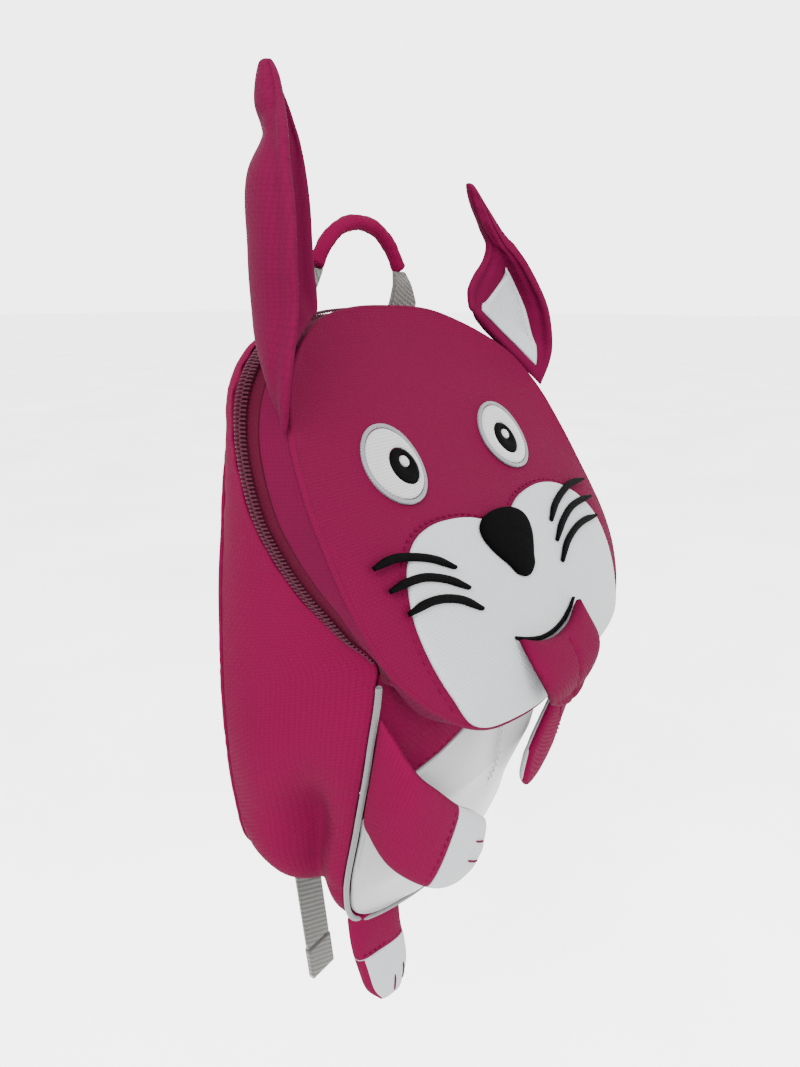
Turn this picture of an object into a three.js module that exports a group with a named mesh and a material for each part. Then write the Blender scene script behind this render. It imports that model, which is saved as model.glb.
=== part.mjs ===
// A small child's rabbit backpack, hanging by its carry loop. Millimetres, +Z up; the face looks along -Y.
// The origin is the hanging point: the underside of the carry loop's crown.
// "left" is the side of -X, which is on the viewer's left when the face looks at the viewer.
import * as THREE from "three";

// Driving sizes of the bag
const bagWidth = 173;
const bagHeight = 231;
const bagDepth = 93;
const hangToTop = 27;
const hangToBack = 3;
const clothThickness = 1.6;
const faceThickness = 2;
const seamGap = 0.3;
const sideBulge = 6;
const bottomDent = 13;
const chinDroop = 9.5;
const muzzlePuff = 4.5;
const foreheadSink = 2;

// Back panel, a padded plate
const backEdgeThickness = 2;
const backCrown = 3;

// Zipper and piping
const tapeBack = 5;
const tapeFront = 7;
const tapeThickness = 1;
const tapeRecess = 0.5;
const coilWidth = 5.4;
const coilHeight = 1.9;
const sliderLength = 12;
const sliderWidth = 8;
const sliderHeight = 3.2;
const pullLength = 24;
const pullThickness = 1.6;
const pipingDiameter = 2.6;

// Face
const eyeDiameter = 29;
const eyeRimWidth = 1.9;
const eyeSpacing = 75;
const eyeLevel = 57.5;
const pupilDiameter = 13.5;
const pupilSpacing = 71;
const pupilDrop = 1.5;
const glintDiameter = 3.4;
const glintRise = 3.2;
const patchThickness = 1;
const patchGap = 0.5;
const noseWidth = 33;
const noseHeight = 27;
const noseLevel = 84.5;
const noseThickness = 2;
const whiskerWidth = 3;
const whiskerThickness = 1.4;
const mouthWidth = 51;
const mouthDip = 6;
const mouthLevel = 127.6;
const mouthLine = 1.8;
const tongueLength = 28;
const tongueThickness = 5;
const tongueStand = 2;

// Ears, arms and legs
const earThickness = 6.5;
const earRightLength = 86;
const earLeftLength = 104;
const liningThickness = 1;
const armThickness = 6;
const legLength = 54;
const legWidth = 34;
const legThickness = 7;

// Carry loop
const sleeveDiameter = 8;
const sleeveSpan = 51;
const sleeveRise = 16;
const carryWebWidth = 20;
const carryWebThickness = 1.6;
const carryWebSpacing = 62;
const carryWebSewn = 18;

// Shoulder straps
const padWidth = 40;
const padThickness = 6;
const padBow = 26;
const strapWebWidth = 15;
const strapWebThickness = 1.5;
const lockWidth = 22;
const lockHeight = 17;
const lockThickness = 3.2;
const lockBar = 3;
const tailLength = 84;
const tipLength = 16;

// Colours
const pink = { color: 0xa02058, roughness: 0.8 };
const white = { color: 0xe4e6e8, roughness: 0.75 };
const black = { color: 0x0b0b0c, roughness: 0.7 };
const silver = { color: 0xc9c9cc, roughness: 0.45 };
const grey = { color: 0x6f6c64, roughness: 0.85 };
const hardPlastic = { color: 0x55534c, roughness: 0.5 };

const { lerp, smoothstep, clamp } = THREE.MathUtils;
const vec = (x, y, z) => new THREE.Vector3(x, y, z);
const mix = (a, b, t) => a.clone().lerp(b, t);
const steps = (from, to, count) => Array.from({ length: count + 1 }, (_, i) => lerp(from, to, i / count));

const halfWidth = bagWidth / 2;

// A point of the bag from shares: x of the half width, y of the depth in front of the back, z of the height below the top.
function bagPoint(x, y, z) {
  return vec(x * halfWidth, hangToBack - y * bagDepth, -hangToTop - z * bagHeight);
}

// Seam lines of the body, from the top centre (row 0) round the side to the bottom centre. "back" is the edge
// of the back panel, "front" the gusset's front edge: the zipper down to row 9, and the piping from there.
const bodyRows = [
  { backX: 0, backZ: 0.022, frontX: 0, frontY: 0.054, frontZ: 0.01, bulge: 0.15, dent: 0 },
  { backX: 0.324, backZ: 0.024, frontX: 0.324, frontY: 0.054, frontZ: 0.013, bulge: 0.15, dent: 0 },
  { backX: 0.613, backZ: 0.048, frontX: 0.63, frontY: 0.07, frontZ: 0.037, bulge: 0.25, dent: 0 },
  { backX: 0.786, backZ: 0.104, frontX: 0.844, frontY: 0.108, frontZ: 0.095, bulge: 0.3, dent: 0 },
  { backX: 0.855, backZ: 0.177, frontX: 0.925, frontY: 0.151, frontZ: 0.169, bulge: 0.3, dent: 0 },
  { backX: 0.89, backZ: 0.264, frontX: 0.971, frontY: 0.247, frontZ: 0.26, bulge: 0.3, dent: 0 },
  { backX: 0.908, backZ: 0.333, frontX: 0.983, frontY: 0.355, frontZ: 0.32, bulge: 0.4, dent: 0 },
  { backX: 0.925, backZ: 0.411, frontX: 0.977, frontY: 0.484, frontZ: 0.372, bulge: 0.5, dent: 0 },
  { backX: 0.936, backZ: 0.489, frontX: 0.948, frontY: 0.624, frontZ: 0.413, bulge: 0.65, dent: 0 },
  { backX: 0.942, backZ: 0.567, frontX: 0.896, frontY: 0.747, frontZ: 0.455, bulge: 0.8, dent: 0 },
  { backX: 0.931, backZ: 0.671, frontX: 0.844, frontY: 0.672, frontZ: 0.602, bulge: 1, dent: 0.15 },
  { backX: 0.89, backZ: 0.771, frontX: 0.763, frontY: 0.548, frontZ: 0.762, bulge: 0.85, dent: 0.9 },
  { backX: 0.786, backZ: 0.866, frontX: 0.688, frontY: 0.435, frontZ: 0.894, bulge: 0.65, dent: 1 },
  { backX: 0.555, backZ: 0.926, frontX: 0.532, frontY: 0.371, frontZ: 0.985, bulge: 0.5, dent: 0.55 },
  { backX: 0.277, backZ: 0.942, frontX: 0.277, frontY: 0.452, frontZ: 0.994, bulge: 0.3, dent: 0.15 },
  { backX: 0, backZ: 0.944, frontX: 0, frontY: 0.478, frontZ: 0.991, bulge: 0.3, dent: 0 },
];
const zipperEnd = 9;
const lastBodyRow = bodyRows.length - 1;

// Seam lines of the face, from the top centre (row 0) round the side to the chin. Shares of the half width and
// of the face's length. From row 10 the head's underside meets the belly at "neck", a share of the belly's width.
const faceRows = [
  { seamX: 0, seamS: 0, muzzleX: 0, muzzleS: 0.5815, droop: 0 },
  { seamX: 0.324, seamS: 0.005, muzzleX: 0.104, muzzleS: 0.556, droop: 0 },
  { seamX: 0.578, seamS: 0.042, muzzleX: 0.208, muzzleS: 0.5335, droop: 0 },
  { seamX: 0.792, seamS: 0.134, muzzleX: 0.324, muzzleS: 0.522, droop: 0 },
  { seamX: 0.931, seamS: 0.262, muzzleX: 0.451, muzzleS: 0.5195, droop: 0 },
  { seamX: 0.988, seamS: 0.396, muzzleX: 0.578, muzzleS: 0.5335, droop: 0 },
  { seamX: 1, seamS: 0.498, muzzleX: 0.676, muzzleS: 0.5655, droop: 0 },
  { seamX: 1, seamS: 0.588, muzzleX: 0.746, muzzleS: 0.61, droop: 0 },
  { seamX: 0.983, seamS: 0.677, muzzleX: 0.792, muzzleS: 0.677, droop: 0 },
  { seamX: 0.931, seamS: 0.767, muzzleX: 0.79, muzzleS: 0.76, droop: 0 },
  { seamX: 0.821, seamS: 0.853, muzzleX: 0.746, muzzleS: 0.8435, droop: 0 },
  { seamX: 0.653, seamS: 0.9265, muzzleX: 0.653, muzzleS: 0.9265, droop: 0.1 },
  { seamX: 0.393, seamS: 0.9745, muzzleX: 0.393, muzzleS: 0.9745, droop: 0.62 },
  { seamX: 0, seamS: 1, muzzleX: 0, muzzleS: 1, droop: 1 },
];
const lastFaceRow = faceRows.length - 1;
const muzzleCornerRow = 11;

// Line where the underside of the head meets the belly, from the zipper's end to the middle.
const neckRows = [
  { x: 0.763, z: 0.502 },
  { x: 0.578, z: 0.537 },
  { x: 0.324, z: 0.561 },
  { x: 0, z: 0.569 },
];

// Depth of the belly's centre line at the height of the body rows from the zipper's end to the bottom.
const bellyRows = [
  { row: 9, midY: 0.801 },
  { row: 10, midY: 0.785 },
  { row: 11, midY: 0.753 },
  { row: 12, midY: 0.645 },
  { row: 13, midY: 0.478 },
];
const bellyRoundness = 2.6;

// Rows past the last one count back up the mirrored side.
function foldRow(row, last) {
  const r = THREE.MathUtils.euclideanModulo(row, 2 * last);
  return r > last ? 2 * last - r : r;
}

// A closed smooth line through rows on one side and their mirror images. The row number is its parameter,
// and a negative one gives the mirrored side.
function mirroredLoop(points) {
  const mirrored = points.slice(1, -1).reverse().map((p) => vec(-p.x, p.y, p.z));
  const all = [...points, ...mirrored];
  const curve = new THREE.CatmullRomCurve3(all, true, "catmullrom", 0.5);
  return (row) => curve.getPoint(THREE.MathUtils.euclideanModulo(row, all.length) / all.length);
}

// Smooth single values between rows.
function smoothColumn(values) {
  const line = new THREE.CatmullRomCurve3(values.map((v, i) => vec(i, v, 0)), false, "catmullrom", 0.5);
  return (row) => line.getPoint(clamp(row / (values.length - 1), 0, 1)).y;
}

const backEdge = mirroredLoop(bodyRows.map((r) => bagPoint(r.backX, 0, r.backZ)));
const frontEdge = mirroredLoop(bodyRows.map((r) => bagPoint(r.frontX, r.frontY, r.frontZ)));
const bulgeShare = smoothColumn(bodyRows.map((r) => r.bulge));
const dentShare = smoothColumn(bodyRows.map((r) => r.dent));

// The face's plane: s runs down it from the top seam, and its height is measured along its normal.
const faceTop = bagPoint(0, 0.226, 0);
const faceFoot = bagPoint(0, 1.054, 0.59);
const faceLength = faceTop.distanceTo(faceFoot);
const faceDown = faceFoot.clone().sub(faceTop).normalize();
const faceNormal = vec(1, 0, 0).cross(faceDown).negate();
if (faceNormal.y > 0) faceNormal.negate();

function onFace(x, s, height) {
  return faceTop.clone().add(vec(x, 0, 0)).addScaledVector(faceDown, s).addScaledVector(faceNormal, height);
}

const seamPlan = mirroredLoop(faceRows.map((r) => vec(r.seamX * halfWidth, r.seamS * faceLength, 0)));
const muzzlePlan = mirroredLoop(faceRows.map((r) => vec(r.muzzleX * halfWidth, r.muzzleS * faceLength, 0)));
const droopShare = smoothColumn(faceRows.map((r) => r.droop));

// The seam by angle round the face's middle, so that any point of the face knows how near the seam it is.
const seamByAngle = steps(0, lastFaceRow, 8 * lastFaceRow).map((row) => {
  const p = seamPlan(row);
  const down = p.y - faceLength / 2;
  return { angle: Math.atan2(Math.max(p.x, 0), -down), radius: Math.hypot(p.x, down), droop: droopShare(row) };
});

function seamToward(x, s) {
  const angle = Math.atan2(Math.abs(x), faceLength / 2 - s);
  const after = clamp(seamByAngle.findIndex((e) => e.angle >= angle), 1, seamByAngle.length - 1);
  const a = seamByAngle[after - 1];
  const b = seamByAngle[after];
  const t = clamp((angle - a.angle) / (b.angle - a.angle), 0, 1);
  return { radius: lerp(a.radius, b.radius, t), droop: lerp(a.droop, b.droop, t) };
}

// Height of the face's cloth over its plane: a flat forehead, a puffed muzzle and a rounded edge that droops at the chin.
function puff(x, s) {
  const edge = seamToward(x, s);
  const share = Math.min(Math.hypot(x, s - faceLength / 2) / edge.radius, 1);
  const inner = lerp(-foreheadSink, muzzlePuff, smoothstep(s / faceLength, 0.32, 0.67));
  const rim = share ** 8;
  return inner * (1 - rim) - edge.droop * chinDroop * rim;
}

const facePoint = (x, s, lift) => onFace(x, s, puff(x, s) + lift);

const seamEdge = (row, depth) => {
  const p = seamPlan(row);
  return onFace(p.x, p.y, -chinDroop * droopShare(foldRow(row, lastFaceRow)) - depth);
};

// A closed body through rings of points, each ring a loop with an even count. Ends are closed unless they join.
function loft(rings, joined = false) {
  const count = rings[0].length;
  const points = rings.flat();
  const faces = [];
  const spans = joined ? rings.length : rings.length - 1;
  for (let i = 0; i < spans; i++) {
    const a = i * count;
    const b = ((i + 1) % rings.length) * count;
    for (let j = 0; j < count; j++) {
      const k = (j + 1) % count;
      faces.push([a + j, a + k, b + k], [a + j, b + k, b + j]);
    }
  }
  if (!joined) {
    const last = (rings.length - 1) * count;
    for (let j = 0; j < count / 2 - 1; j++) {
      const k = count - 1 - j;
      faces.push([j, k, j + 1], [k, k - 1, j + 1]);
      faces.push([last + j, last + j + 1, last + k], [last + k, last + j + 1, last + k - 1]);
    }
  }
  return solidFrom(points, faces);
}

function solidFrom(points, faces) {
  const solidFaces = faces.filter(([a, b, c]) => {
    const normal = points[b].clone().sub(points[a]).cross(points[c].clone().sub(points[a]));
    return normal.length() > 1e-9;
  });
  let volume = 0;
  for (const [a, b, c] of solidFaces) volume += points[a].dot(points[b].clone().cross(points[c]));
  const index = volume < 0 ? solidFaces.flatMap(([a, b, c]) => [a, c, b]) : solidFaces.flat();
  const geometry = new THREE.BufferGeometry();
  geometry.setAttribute("position", new THREE.Float32BufferAttribute(points.flatMap((p) => p.toArray()), 3));
  geometry.setIndex(index);
  geometry.computeVertexNormals();
  return geometry;
}

// A wall between an outer and an inner surface, each given as lines of points across it.
function wall(outer, inner, joined) {
  return loft(outer.map((line, i) => [...line, ...[...inner[i]].reverse()]), joined);
}

// The same lines moved along the surface's own normal, away from "inside" where the distance is positive.
function offsetLines(lines, distance, inside, joined) {
  const count = lines.length;
  const at = (i, j) => {
    const row = joined ? (i + count) % count : clamp(i, 0, count - 1);
    return lines[row][clamp(j, 0, lines[row].length - 1)];
  };
  return lines.map((line, i) => line.map((p, j) => {
    const along = at(i + 1, j).clone().sub(at(i - 1, j));
    const across = at(i, j + 1).clone().sub(at(i, j - 1));
    const normal = along.cross(across).normalize();
    if (normal.dot(p.clone().sub(inside)) < 0) normal.negate();
    return p.clone().addScaledVector(normal, distance);
  }));
}

// A padded shape over a flat outline: "top" and "bottom" turn a plan point and its share of the way out into a point.
function pad(outline, centre, shares, top, bottom) {
  const ring = (share, height) => outline.map((p) => {
    const x = lerp(centre.x, p.x, share);
    const y = lerp(centre.y, p.y, share);
    return height(x, y, share);
  });
  return loft([...shares.map((s) => ring(s, top)), ...[...shares].reverse().map((s) => ring(s, bottom))]);
}

// A band of even width and thickness along a path, laid on the side that "face" points to.
function band(path, across, face, width, thickness, joined = false) {
  return loft(path.map((p, i) => {
    const w = across(i).clone().multiplyScalar(width / 2);
    const n = face(i).clone().multiplyScalar(thickness);
    return [p.clone().sub(w), p.clone().add(w), p.clone().add(w).add(n), p.clone().sub(w).add(n)];
  }), joined);
}

// A round cord along a path.
function cord(path, diameter, sides = 6) {
  return loft(path.map((p, i) => {
    const ahead = path[Math.min(i + 1, path.length - 1)];
    const behind = path[Math.max(i - 1, 0)];
    const along = ahead.clone().sub(behind).normalize();
    const side = along.clone().cross(Math.abs(along.y) > 0.9 ? vec(1, 0, 0) : vec(0, 1, 0)).normalize();
    const up = side.clone().cross(along);
    return steps(0, 2 * Math.PI, sides).slice(0, sides).map((angle) => p.clone()
      .addScaledVector(side, Math.cos(angle) * diameter / 2)
      .addScaledVector(up, Math.sin(angle) * diameter / 2));
  }));
}

const bagMiddle = bagPoint(0, 0.45, 0.45);
const turn = (side) => (p) => vec(side * p.x, p.y, p.z);

// Main gusset: from the back panel round to the zipper, and below it to the piping.
const gussetAcross = 6;
const zipRows = [-zipperEnd, -8.8, ...steps(-8.5, 8.5, 26), 8.8, zipperEnd];

// Share that is 0 along the zipper and 1 along the piping, changing just past the zipper's end.
const pipingPart = (row) => smoothstep(foldRow(row, lastBodyRow), zipperEnd, zipperEnd + 0.25);

function gussetPoint(row, v) {
  const back = backEdge(row);
  const front = frontEdge(row);
  const inset = lerp(seamGap / 2, pipingDiameter / 2 + seamGap, pipingPart(row));
  front.lerp(back, inset / front.distanceTo(back));
  const along = backEdge(row + 0.3).sub(backEdge(row - 0.3));
  const outward = vec(-along.z, 0, along.x).normalize();
  if (outward.dot(back.clone().sub(vec(0, back.y, bagMiddle.z))) < 0) outward.negate();
  const dip = Math.exp(-(((v - 0.62) / 0.2) ** 2)) * 4 * v * (1 - v);
  const rise = sideBulge * bulgeShare(foldRow(row, lastBodyRow)) * Math.sin(Math.PI * v ** 0.8);
  const point = mix(back.add(vec(0, -seamGap, 0)), front, v);
  return point.addScaledVector(outward, rise - bottomDent * dentShare(foldRow(row, lastBodyRow)) * dip);
}

const bodyCircle = [...zipRows, ...steps(zipperEnd, 2 * lastBodyRow - zipperEnd, 20).slice(1, -1)];
const gussetOuter = bodyCircle.map((row) => steps(0, 1, gussetAcross).map((v) => gussetPoint(row, v)));
const gussetInner = offsetLines(gussetOuter, -clothThickness, bagMiddle, true).map((line) => {
  line[0].y = hangToBack - seamGap;
  return line;
});
const sideGusset = wall(gussetOuter, gussetInner, true);

// Back panel, flat over its middle and thinning to its edge
const backCurve = (share) => Math.sqrt(1 - Math.max(0, 2 * share - 1) ** 3);
const backPanel = pad(
  steps(0, 2 * lastBodyRow, 40).slice(0, -1).map((row) => backEdge(row)).map((p) => ({ x: p.x, y: p.z })),
  { x: 0, y: bagMiddle.z }, [0.2, 0.5, 0.75, 0.9, 1],
  (x, z) => vec(x, hangToBack, z),
  (x, z, share) => vec(x, hangToBack + backEdgeThickness + backCrown * backCurve(share), z),
);

// Zipper: the tape lies between the two gussets and narrows to its ends beside the chin.
const tapeNarrow = 0.68;
const tapeRows = zipRows.slice(1, -1);

function tapeEdges(row) {
  const back = frontEdge(row);
  const seam = seamEdge(row, faceThickness + seamGap);
  const reach = back.distanceTo(seam);
  const width = Math.min(tapeBack + tapeFront, tapeNarrow * reach);
  return { back, front: mix(back, seam, width / reach), width };
}

function tapeLine(row, from, to, count) {
  const edges = tapeEdges(row);
  const inward = bagMiddle.clone().sub(edges.back).setY(0).normalize().multiplyScalar(tapeRecess);
  return steps(from, to, count).map((v) => mix(edges.back, edges.front, v).add(inward));
}
const gapShare = (row) => seamGap / tapeEdges(row).width;
const tapeTop = tapeRows.map((row) => tapeLine(row, gapShare(row), 1 - gapShare(row), 3));
const tapeUnder = offsetLines(tapeTop, -tapeThickness, bagMiddle, false);
const zipperTape = wall(tapeTop, tapeUnder, false);

const coilShare = tapeBack / (tapeBack + tapeFront);

function coilLine(row) {
  const half = coilWidth / 2 / (tapeBack + tapeFront);
  return tapeLine(row, coilShare - half, coilShare + half, 3);
}
const coilFoot = offsetLines(tapeRows.map(coilLine), seamGap, bagMiddle, false);
const coilTop = offsetLines(tapeRows.map(coilLine), seamGap + coilHeight, bagMiddle, false)
  .map((line, i) => [mix(line[0], coilFoot[i][0], 0.5), line[1], line[2], mix(line[3], coilFoot[i][3], 0.5)]);
const zipperCoil = wall(coilTop, coilFoot, false);

// Head gusset: from the zipper to the face, and under the chin from the belly to the face.

const bellyEdges = bellyRows.map((r) => {
  const edge = frontEdge(r.row);
  return { edgeX: edge.x, edgeY: edge.y, midY: bagPoint(0, r.midY, 0).y, z: edge.z };
});

// Depth of the belly's outer face at a width and height
function bellyAt(x, z) {
  const below = bellyEdges.findIndex((e) => e.z < z);
  const k = clamp(below < 0 ? bellyEdges.length - 1 : below, 1, bellyEdges.length - 1);
  const a = bellyEdges[k - 1];
  const b = bellyEdges[k];
  const t = clamp((a.z - z) / (a.z - b.z), -0.2, 1.2);
  const out = clamp(Math.abs(x) / lerp(a.edgeX, b.edgeX, t), 0, 1);
  const edge = lerp(a.edgeY, b.edgeY, t);
  return edge - (edge - lerp(a.midY, b.midY, t)) * (1 - out ** bellyRoundness);
}

const zipEnds = { right: tapeEdges(zipperEnd).front, left: tapeEdges(-zipperEnd).front };

function neckPoint(r) {
  const x = r.x * halfWidth;
  const z = bagPoint(0, 0, r.z).z;
  return vec(x, bellyAt(x, z), z);
}
const neckSide = neckRows.map(neckPoint);
const neckCurve = new THREE.CatmullRomCurve3([
  zipEnds.right, ...neckSide, ...neckSide.slice(0, -1).reverse().map(turn(-1)), zipEnds.left,
], false, "catmullrom", 0.5);

function headBack(row) {
  if (foldRow(row, lastFaceRow) > zipperEnd) {
    const forward = row < 0 ? row + 2 * lastFaceRow : row;
    return neckCurve.getPoint((forward - zipperEnd) / (2 * (lastFaceRow - zipperEnd)));
  }
  const edges = tapeEdges(row);
  return mix(edges.front, seamEdge(row, faceThickness + seamGap), 0.02);
}

const headCircle = [...zipRows, ...steps(zipperEnd, 2 * lastFaceRow - zipperEnd, 14).slice(1, -1)];
const headOuter = headCircle.map((row) => {
  const from = headBack(row);
  const to = seamEdge(row, faceThickness + seamGap);
  from.addScaledVector(to.clone().sub(from).normalize(), seamGap);
  return steps(0, 1, 2).map((v) => mix(from, to, v));
});
const headInner = offsetLines(headOuter, -clothThickness, bagMiddle, true).map((line, i) => {
  const p = seamPlan(headCircle[i]);
  const inward = vec(-p.x, faceLength / 2 - p.y, 0).normalize().multiplyScalar(clothThickness);
  const height = -chinDroop * droopShare(foldRow(headCircle[i], lastFaceRow)) - faceThickness - seamGap;
  line[2] = onFace(p.x + inward.x, p.y + inward.y, height);
  return line;
});
const headGusset = wall(headOuter, headInner, true);

// Face panel, with the muzzle sewn on it
const faceMiddle = { x: 0, y: faceLength / 2 };
const faceShares = [0.1, 0.28, 0.45, 0.6, 0.73, 0.84, 0.93, 1];
const facePanel = loft([
  ...faceShares.map((share) => faceRing(share, 0)),
  ...[1, 0.9, 0.6, 0.2].map((share) => faceRing(share, -faceThickness)),
]);

function faceRing(share, lift) {
  return steps(0, 2 * lastFaceRow, 36).slice(0, -1).map((row) => {
    const p = seamPlan(row);
    return facePoint(p.x * share, lerp(faceMiddle.y, p.y, share), lift);
  });
}

// A flat patch laid over the face's cloth
function facePatch(outline, centre, shares, lift, thickness) {
  return pad(outline, centre, shares, (x, s) => facePoint(x, s, lift + thickness), (x, s) => facePoint(x, s, lift));
}
const topLift = 2 * patchGap + patchThickness;
const muzzleOutline = steps(0, 2 * lastFaceRow, 34).slice(0, -1).map((row) => muzzlePlan(row));
const muzzleMiddle = { x: 0, y: faceLength * 0.756 };
const muzzlePatch = facePatch(
  muzzleOutline, muzzleMiddle, [0.15, 0.4, 0.62, 0.8, 0.92, 1], patchGap, patchThickness,
);

// Eyes: flat rings laid one inside the other
function circle(x, s, diameter, count) {
  return steps(0, 2 * Math.PI, count).slice(0, -1)
    .map((a) => ({ x: x + Math.sin(a) * diameter / 2, y: s - Math.cos(a) * diameter / 2 }));
}

function faceRingPatch(outside, inside) {
  return loft(outside.map((p, i) => {
    const q = inside[i];
    const high = patchGap + patchThickness;
    return [facePoint(p.x, p.y, patchGap), facePoint(p.x, p.y, high), facePoint(q.x, q.y, high),
      facePoint(q.x, q.y, patchGap)];
  }), true);
}

function eyeParts(side) {
  const x = side * eyeSpacing / 2;
  const pupilX = side * pupilSpacing / 2;
  const pupilS = eyeLevel + pupilDrop;
  const glintX = pupilX + glintDiameter / 4;
  const glintS = pupilS - glintRise / 2;
  const inner = eyeDiameter - 2 * eyeRimWidth;
  const rim = faceRingPatch(circle(x, eyeLevel, eyeDiameter, 20), circle(x, eyeLevel, inner + 2 * seamGap, 20));
  const ball = faceRingPatch(circle(x, eyeLevel, inner, 20), circle(pupilX, pupilS, pupilDiameter + 2 * seamGap, 20));
  const pupil = faceRingPatch(
    circle(pupilX, pupilS, pupilDiameter, 12), circle(glintX, glintS, glintDiameter + 2 * seamGap, 12),
  );
  const glint = facePatch(
    circle(glintX, glintS, glintDiameter, 8), { x: glintX, y: glintS }, [0.3, 1], patchGap, patchThickness,
  );
  return { rim, ball, pupil, glint };
}

// Nose, from the middle of its top edge round the right side; shares of half its width and of its height
const noseRows = [
  { x: 0, y: 0 },
  { x: 0.55, y: 0.035 },
  { x: 0.9, y: 0.14 },
  { x: 1, y: 0.3 },
  { x: 0.86, y: 0.52 },
  { x: 0.55, y: 0.76 },
  { x: 0.36, y: 0.92 },
  { x: 0, y: 1 },
];
const nosePlan = mirroredLoop(noseRows.map((r) => vec(r.x * noseWidth / 2, noseLevel + r.y * noseHeight, 0)));
const noseOutline = steps(0, 2 * (noseRows.length - 1), 18).slice(0, -1).map((row) => nosePlan(row));
const nose = pad(
  noseOutline, { x: 0, y: noseLevel + noseHeight * 0.42 }, [0.2, 0.6, 0.86, 1],
  (x, s, share) => facePoint(x, s, topLift + patchThickness + (noseThickness - patchThickness) * (1 - share ** 4)),
  (x, s) => facePoint(x, s, topLift),
);

// Whiskers: centre lines in the face's plane, shares of the half width and of the face's length
const whiskerRows = [
  [{ x: 0.862, s: 0.556 }, { x: 0.74, s: 0.553 }, { x: 0.624, s: 0.564 }, { x: 0.497, s: 0.587 }, { x: 0.393, s: 0.62 }],
  [{ x: 0.839, s: 0.608 }, { x: 0.717, s: 0.606 }, { x: 0.601, s: 0.613 }, { x: 0.474, s: 0.637 }, { x: 0.364, s: 0.671 }],
  [{ x: 0.798, s: 0.662 }, { x: 0.671, s: 0.659 }, { x: 0.555, s: 0.667 }, { x: 0.439, s: 0.688 }, { x: 0.335, s: 0.723 }],
];

// A raised line sewn on the face along plan points; it narrows to "endShare" of its width at both ends.
function faceLine(planPoints, count, width, thickness, endShare) {
  const curve = new THREE.CatmullRomCurve3(planPoints.map((p) => vec(p.x, p.y, 0)), false, "catmullrom", 0.5);
  return loft(steps(0, 1, count).map((t) => {
    const p = curve.getPoint(t);
    const along = curve.getTangent(t);
    const half = width / 2 * lerp(endShare, 1, Math.min(1, 6 * Math.min(t, 1 - t)));
    const a = vec(p.x - along.y * half, p.y + along.x * half, 0);
    const b = vec(p.x + along.y * half, p.y - along.x * half, 0);
    const high = topLift + thickness;
    return [facePoint(a.x, a.y, topLift), facePoint(b.x, b.y, topLift), facePoint(b.x, b.y, high),
      facePoint(a.x, a.y, high)];
  }));
}

function whisker(side, index) {
  const plan = whiskerRows[index].map((r) => vec(side * r.x * halfWidth, r.s * faceLength, 0));
  return faceLine(plan, 6, whiskerWidth, whiskerThickness, 0.5);
}

const mouthPoint = (share) => vec(share * mouthWidth / 2, mouthLevel + mouthDip * (1 - share ** 2), 0);
const mouth = faceLine(steps(-1, 1, 6).map(mouthPoint), 12, mouthLine, patchThickness, 0.6);

// Tongue: its root follows the mouth line; it hangs free of the chin
const tongueRoot = steps(-1, 1, 6).map((share) => mouthPoint(share).add(vec(0, mouthLine / 2 + seamGap, 0)));
const tongueTip = steps(0, Math.PI, 12).slice(1, -1).map((angle) => vec(
  Math.cos(angle) * mouthWidth / 2 * (1 - 0.12 * Math.sin(angle) ** 2),
  mouthLevel + mouthDip + tongueLength * (0.25 + 0.75 * Math.sin(angle) ** 0.8),
  0,
));
const tongue = pad(
  [...tongueRoot, ...tongueTip], { x: 0, y: mouthLevel + mouthDip + tongueLength * 0.45 }, [0.25, 0.6, 0.85, 1],
  (x, s, share) => facePoint(x, s, topLift + tongueThickness * (share === 1 ? 0.8 : 1)),
  (x, s, share) => facePoint(x, s, topLift + (share === 1 ? 1 : 0) + tongueStand * smoothstep(s, mouthLevel, faceLength)),
);

// Belly: a white middle and a shoulder on each side
const shoulderSeam = [
  { x: 0.231, z: 0.566 },
  { x: 0.277, z: 0.623 },
  { x: 0.44, z: 0.656 },
  { x: 0.613, z: 0.684 },
  { x: 0.763, z: 0.753 },
];
const bellyMiddle = vec(0, bagPoint(0, 0, 0.77).z, 0);
const besidePiping = pipingDiameter / 2 + seamGap + 0.5;

// Plan points of the belly are x and z, kept as x and y.
function pipingSide(row) {
  const p = frontEdge(row);
  const plan = vec(p.x, p.z, 0);
  const inward = bellyMiddle.clone().sub(plan).normalize();
  return plan.addScaledVector(inward, besidePiping);
}

const shoulderCurve = new THREE.CatmullRomCurve3(
  shoulderSeam.map((r) => vec(r.x * halfWidth, bagPoint(0, 0, r.z).z, 0)), false, "catmullrom", 0.5,
);
const shoulderTop = shoulderCurve.getPoint(0);
const belowNeck = (x) => {
  const place = neckSide.findIndex((p) => p.x <= x);
  const a = neckSide[Math.max(place - 1, 0)];
  const b = neckSide[Math.max(place, 1)];
  return vec(x, lerp(a.z, b.z, (x - a.x) / (b.x - a.x)) - 4 * seamGap, 0);
};

function bellyPad(outline, centre, thickness) {
  const lift = seamGap;
  return pad(outline, centre, [0.2, 0.5, 0.78, 1],
    (x, z) => vec(x, bellyAt(x, z) - lift, z), (x, z) => vec(x, bellyAt(x, z) - lift + thickness, z));
}

const whiteHalf = [
  ...steps(0.98 * shoulderTop.x, 0, 2).reverse().map((x) => belowNeck(x)),
  ...steps(0.08, 1, 5).map((t) => shoulderCurve.getPoint(t).add(vec(-seamGap, -2 * seamGap, 0))).slice(0, -1),
  ...steps(11.15, 15, 10).map((row) => pipingSide(row)),
];
const bellyWhite = bellyPad(
  [...whiteHalf, ...whiteHalf.slice(1, -1).reverse().map(turn(-1))], { x: 0, y: bellyMiddle.y }, clothThickness,
);

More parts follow.
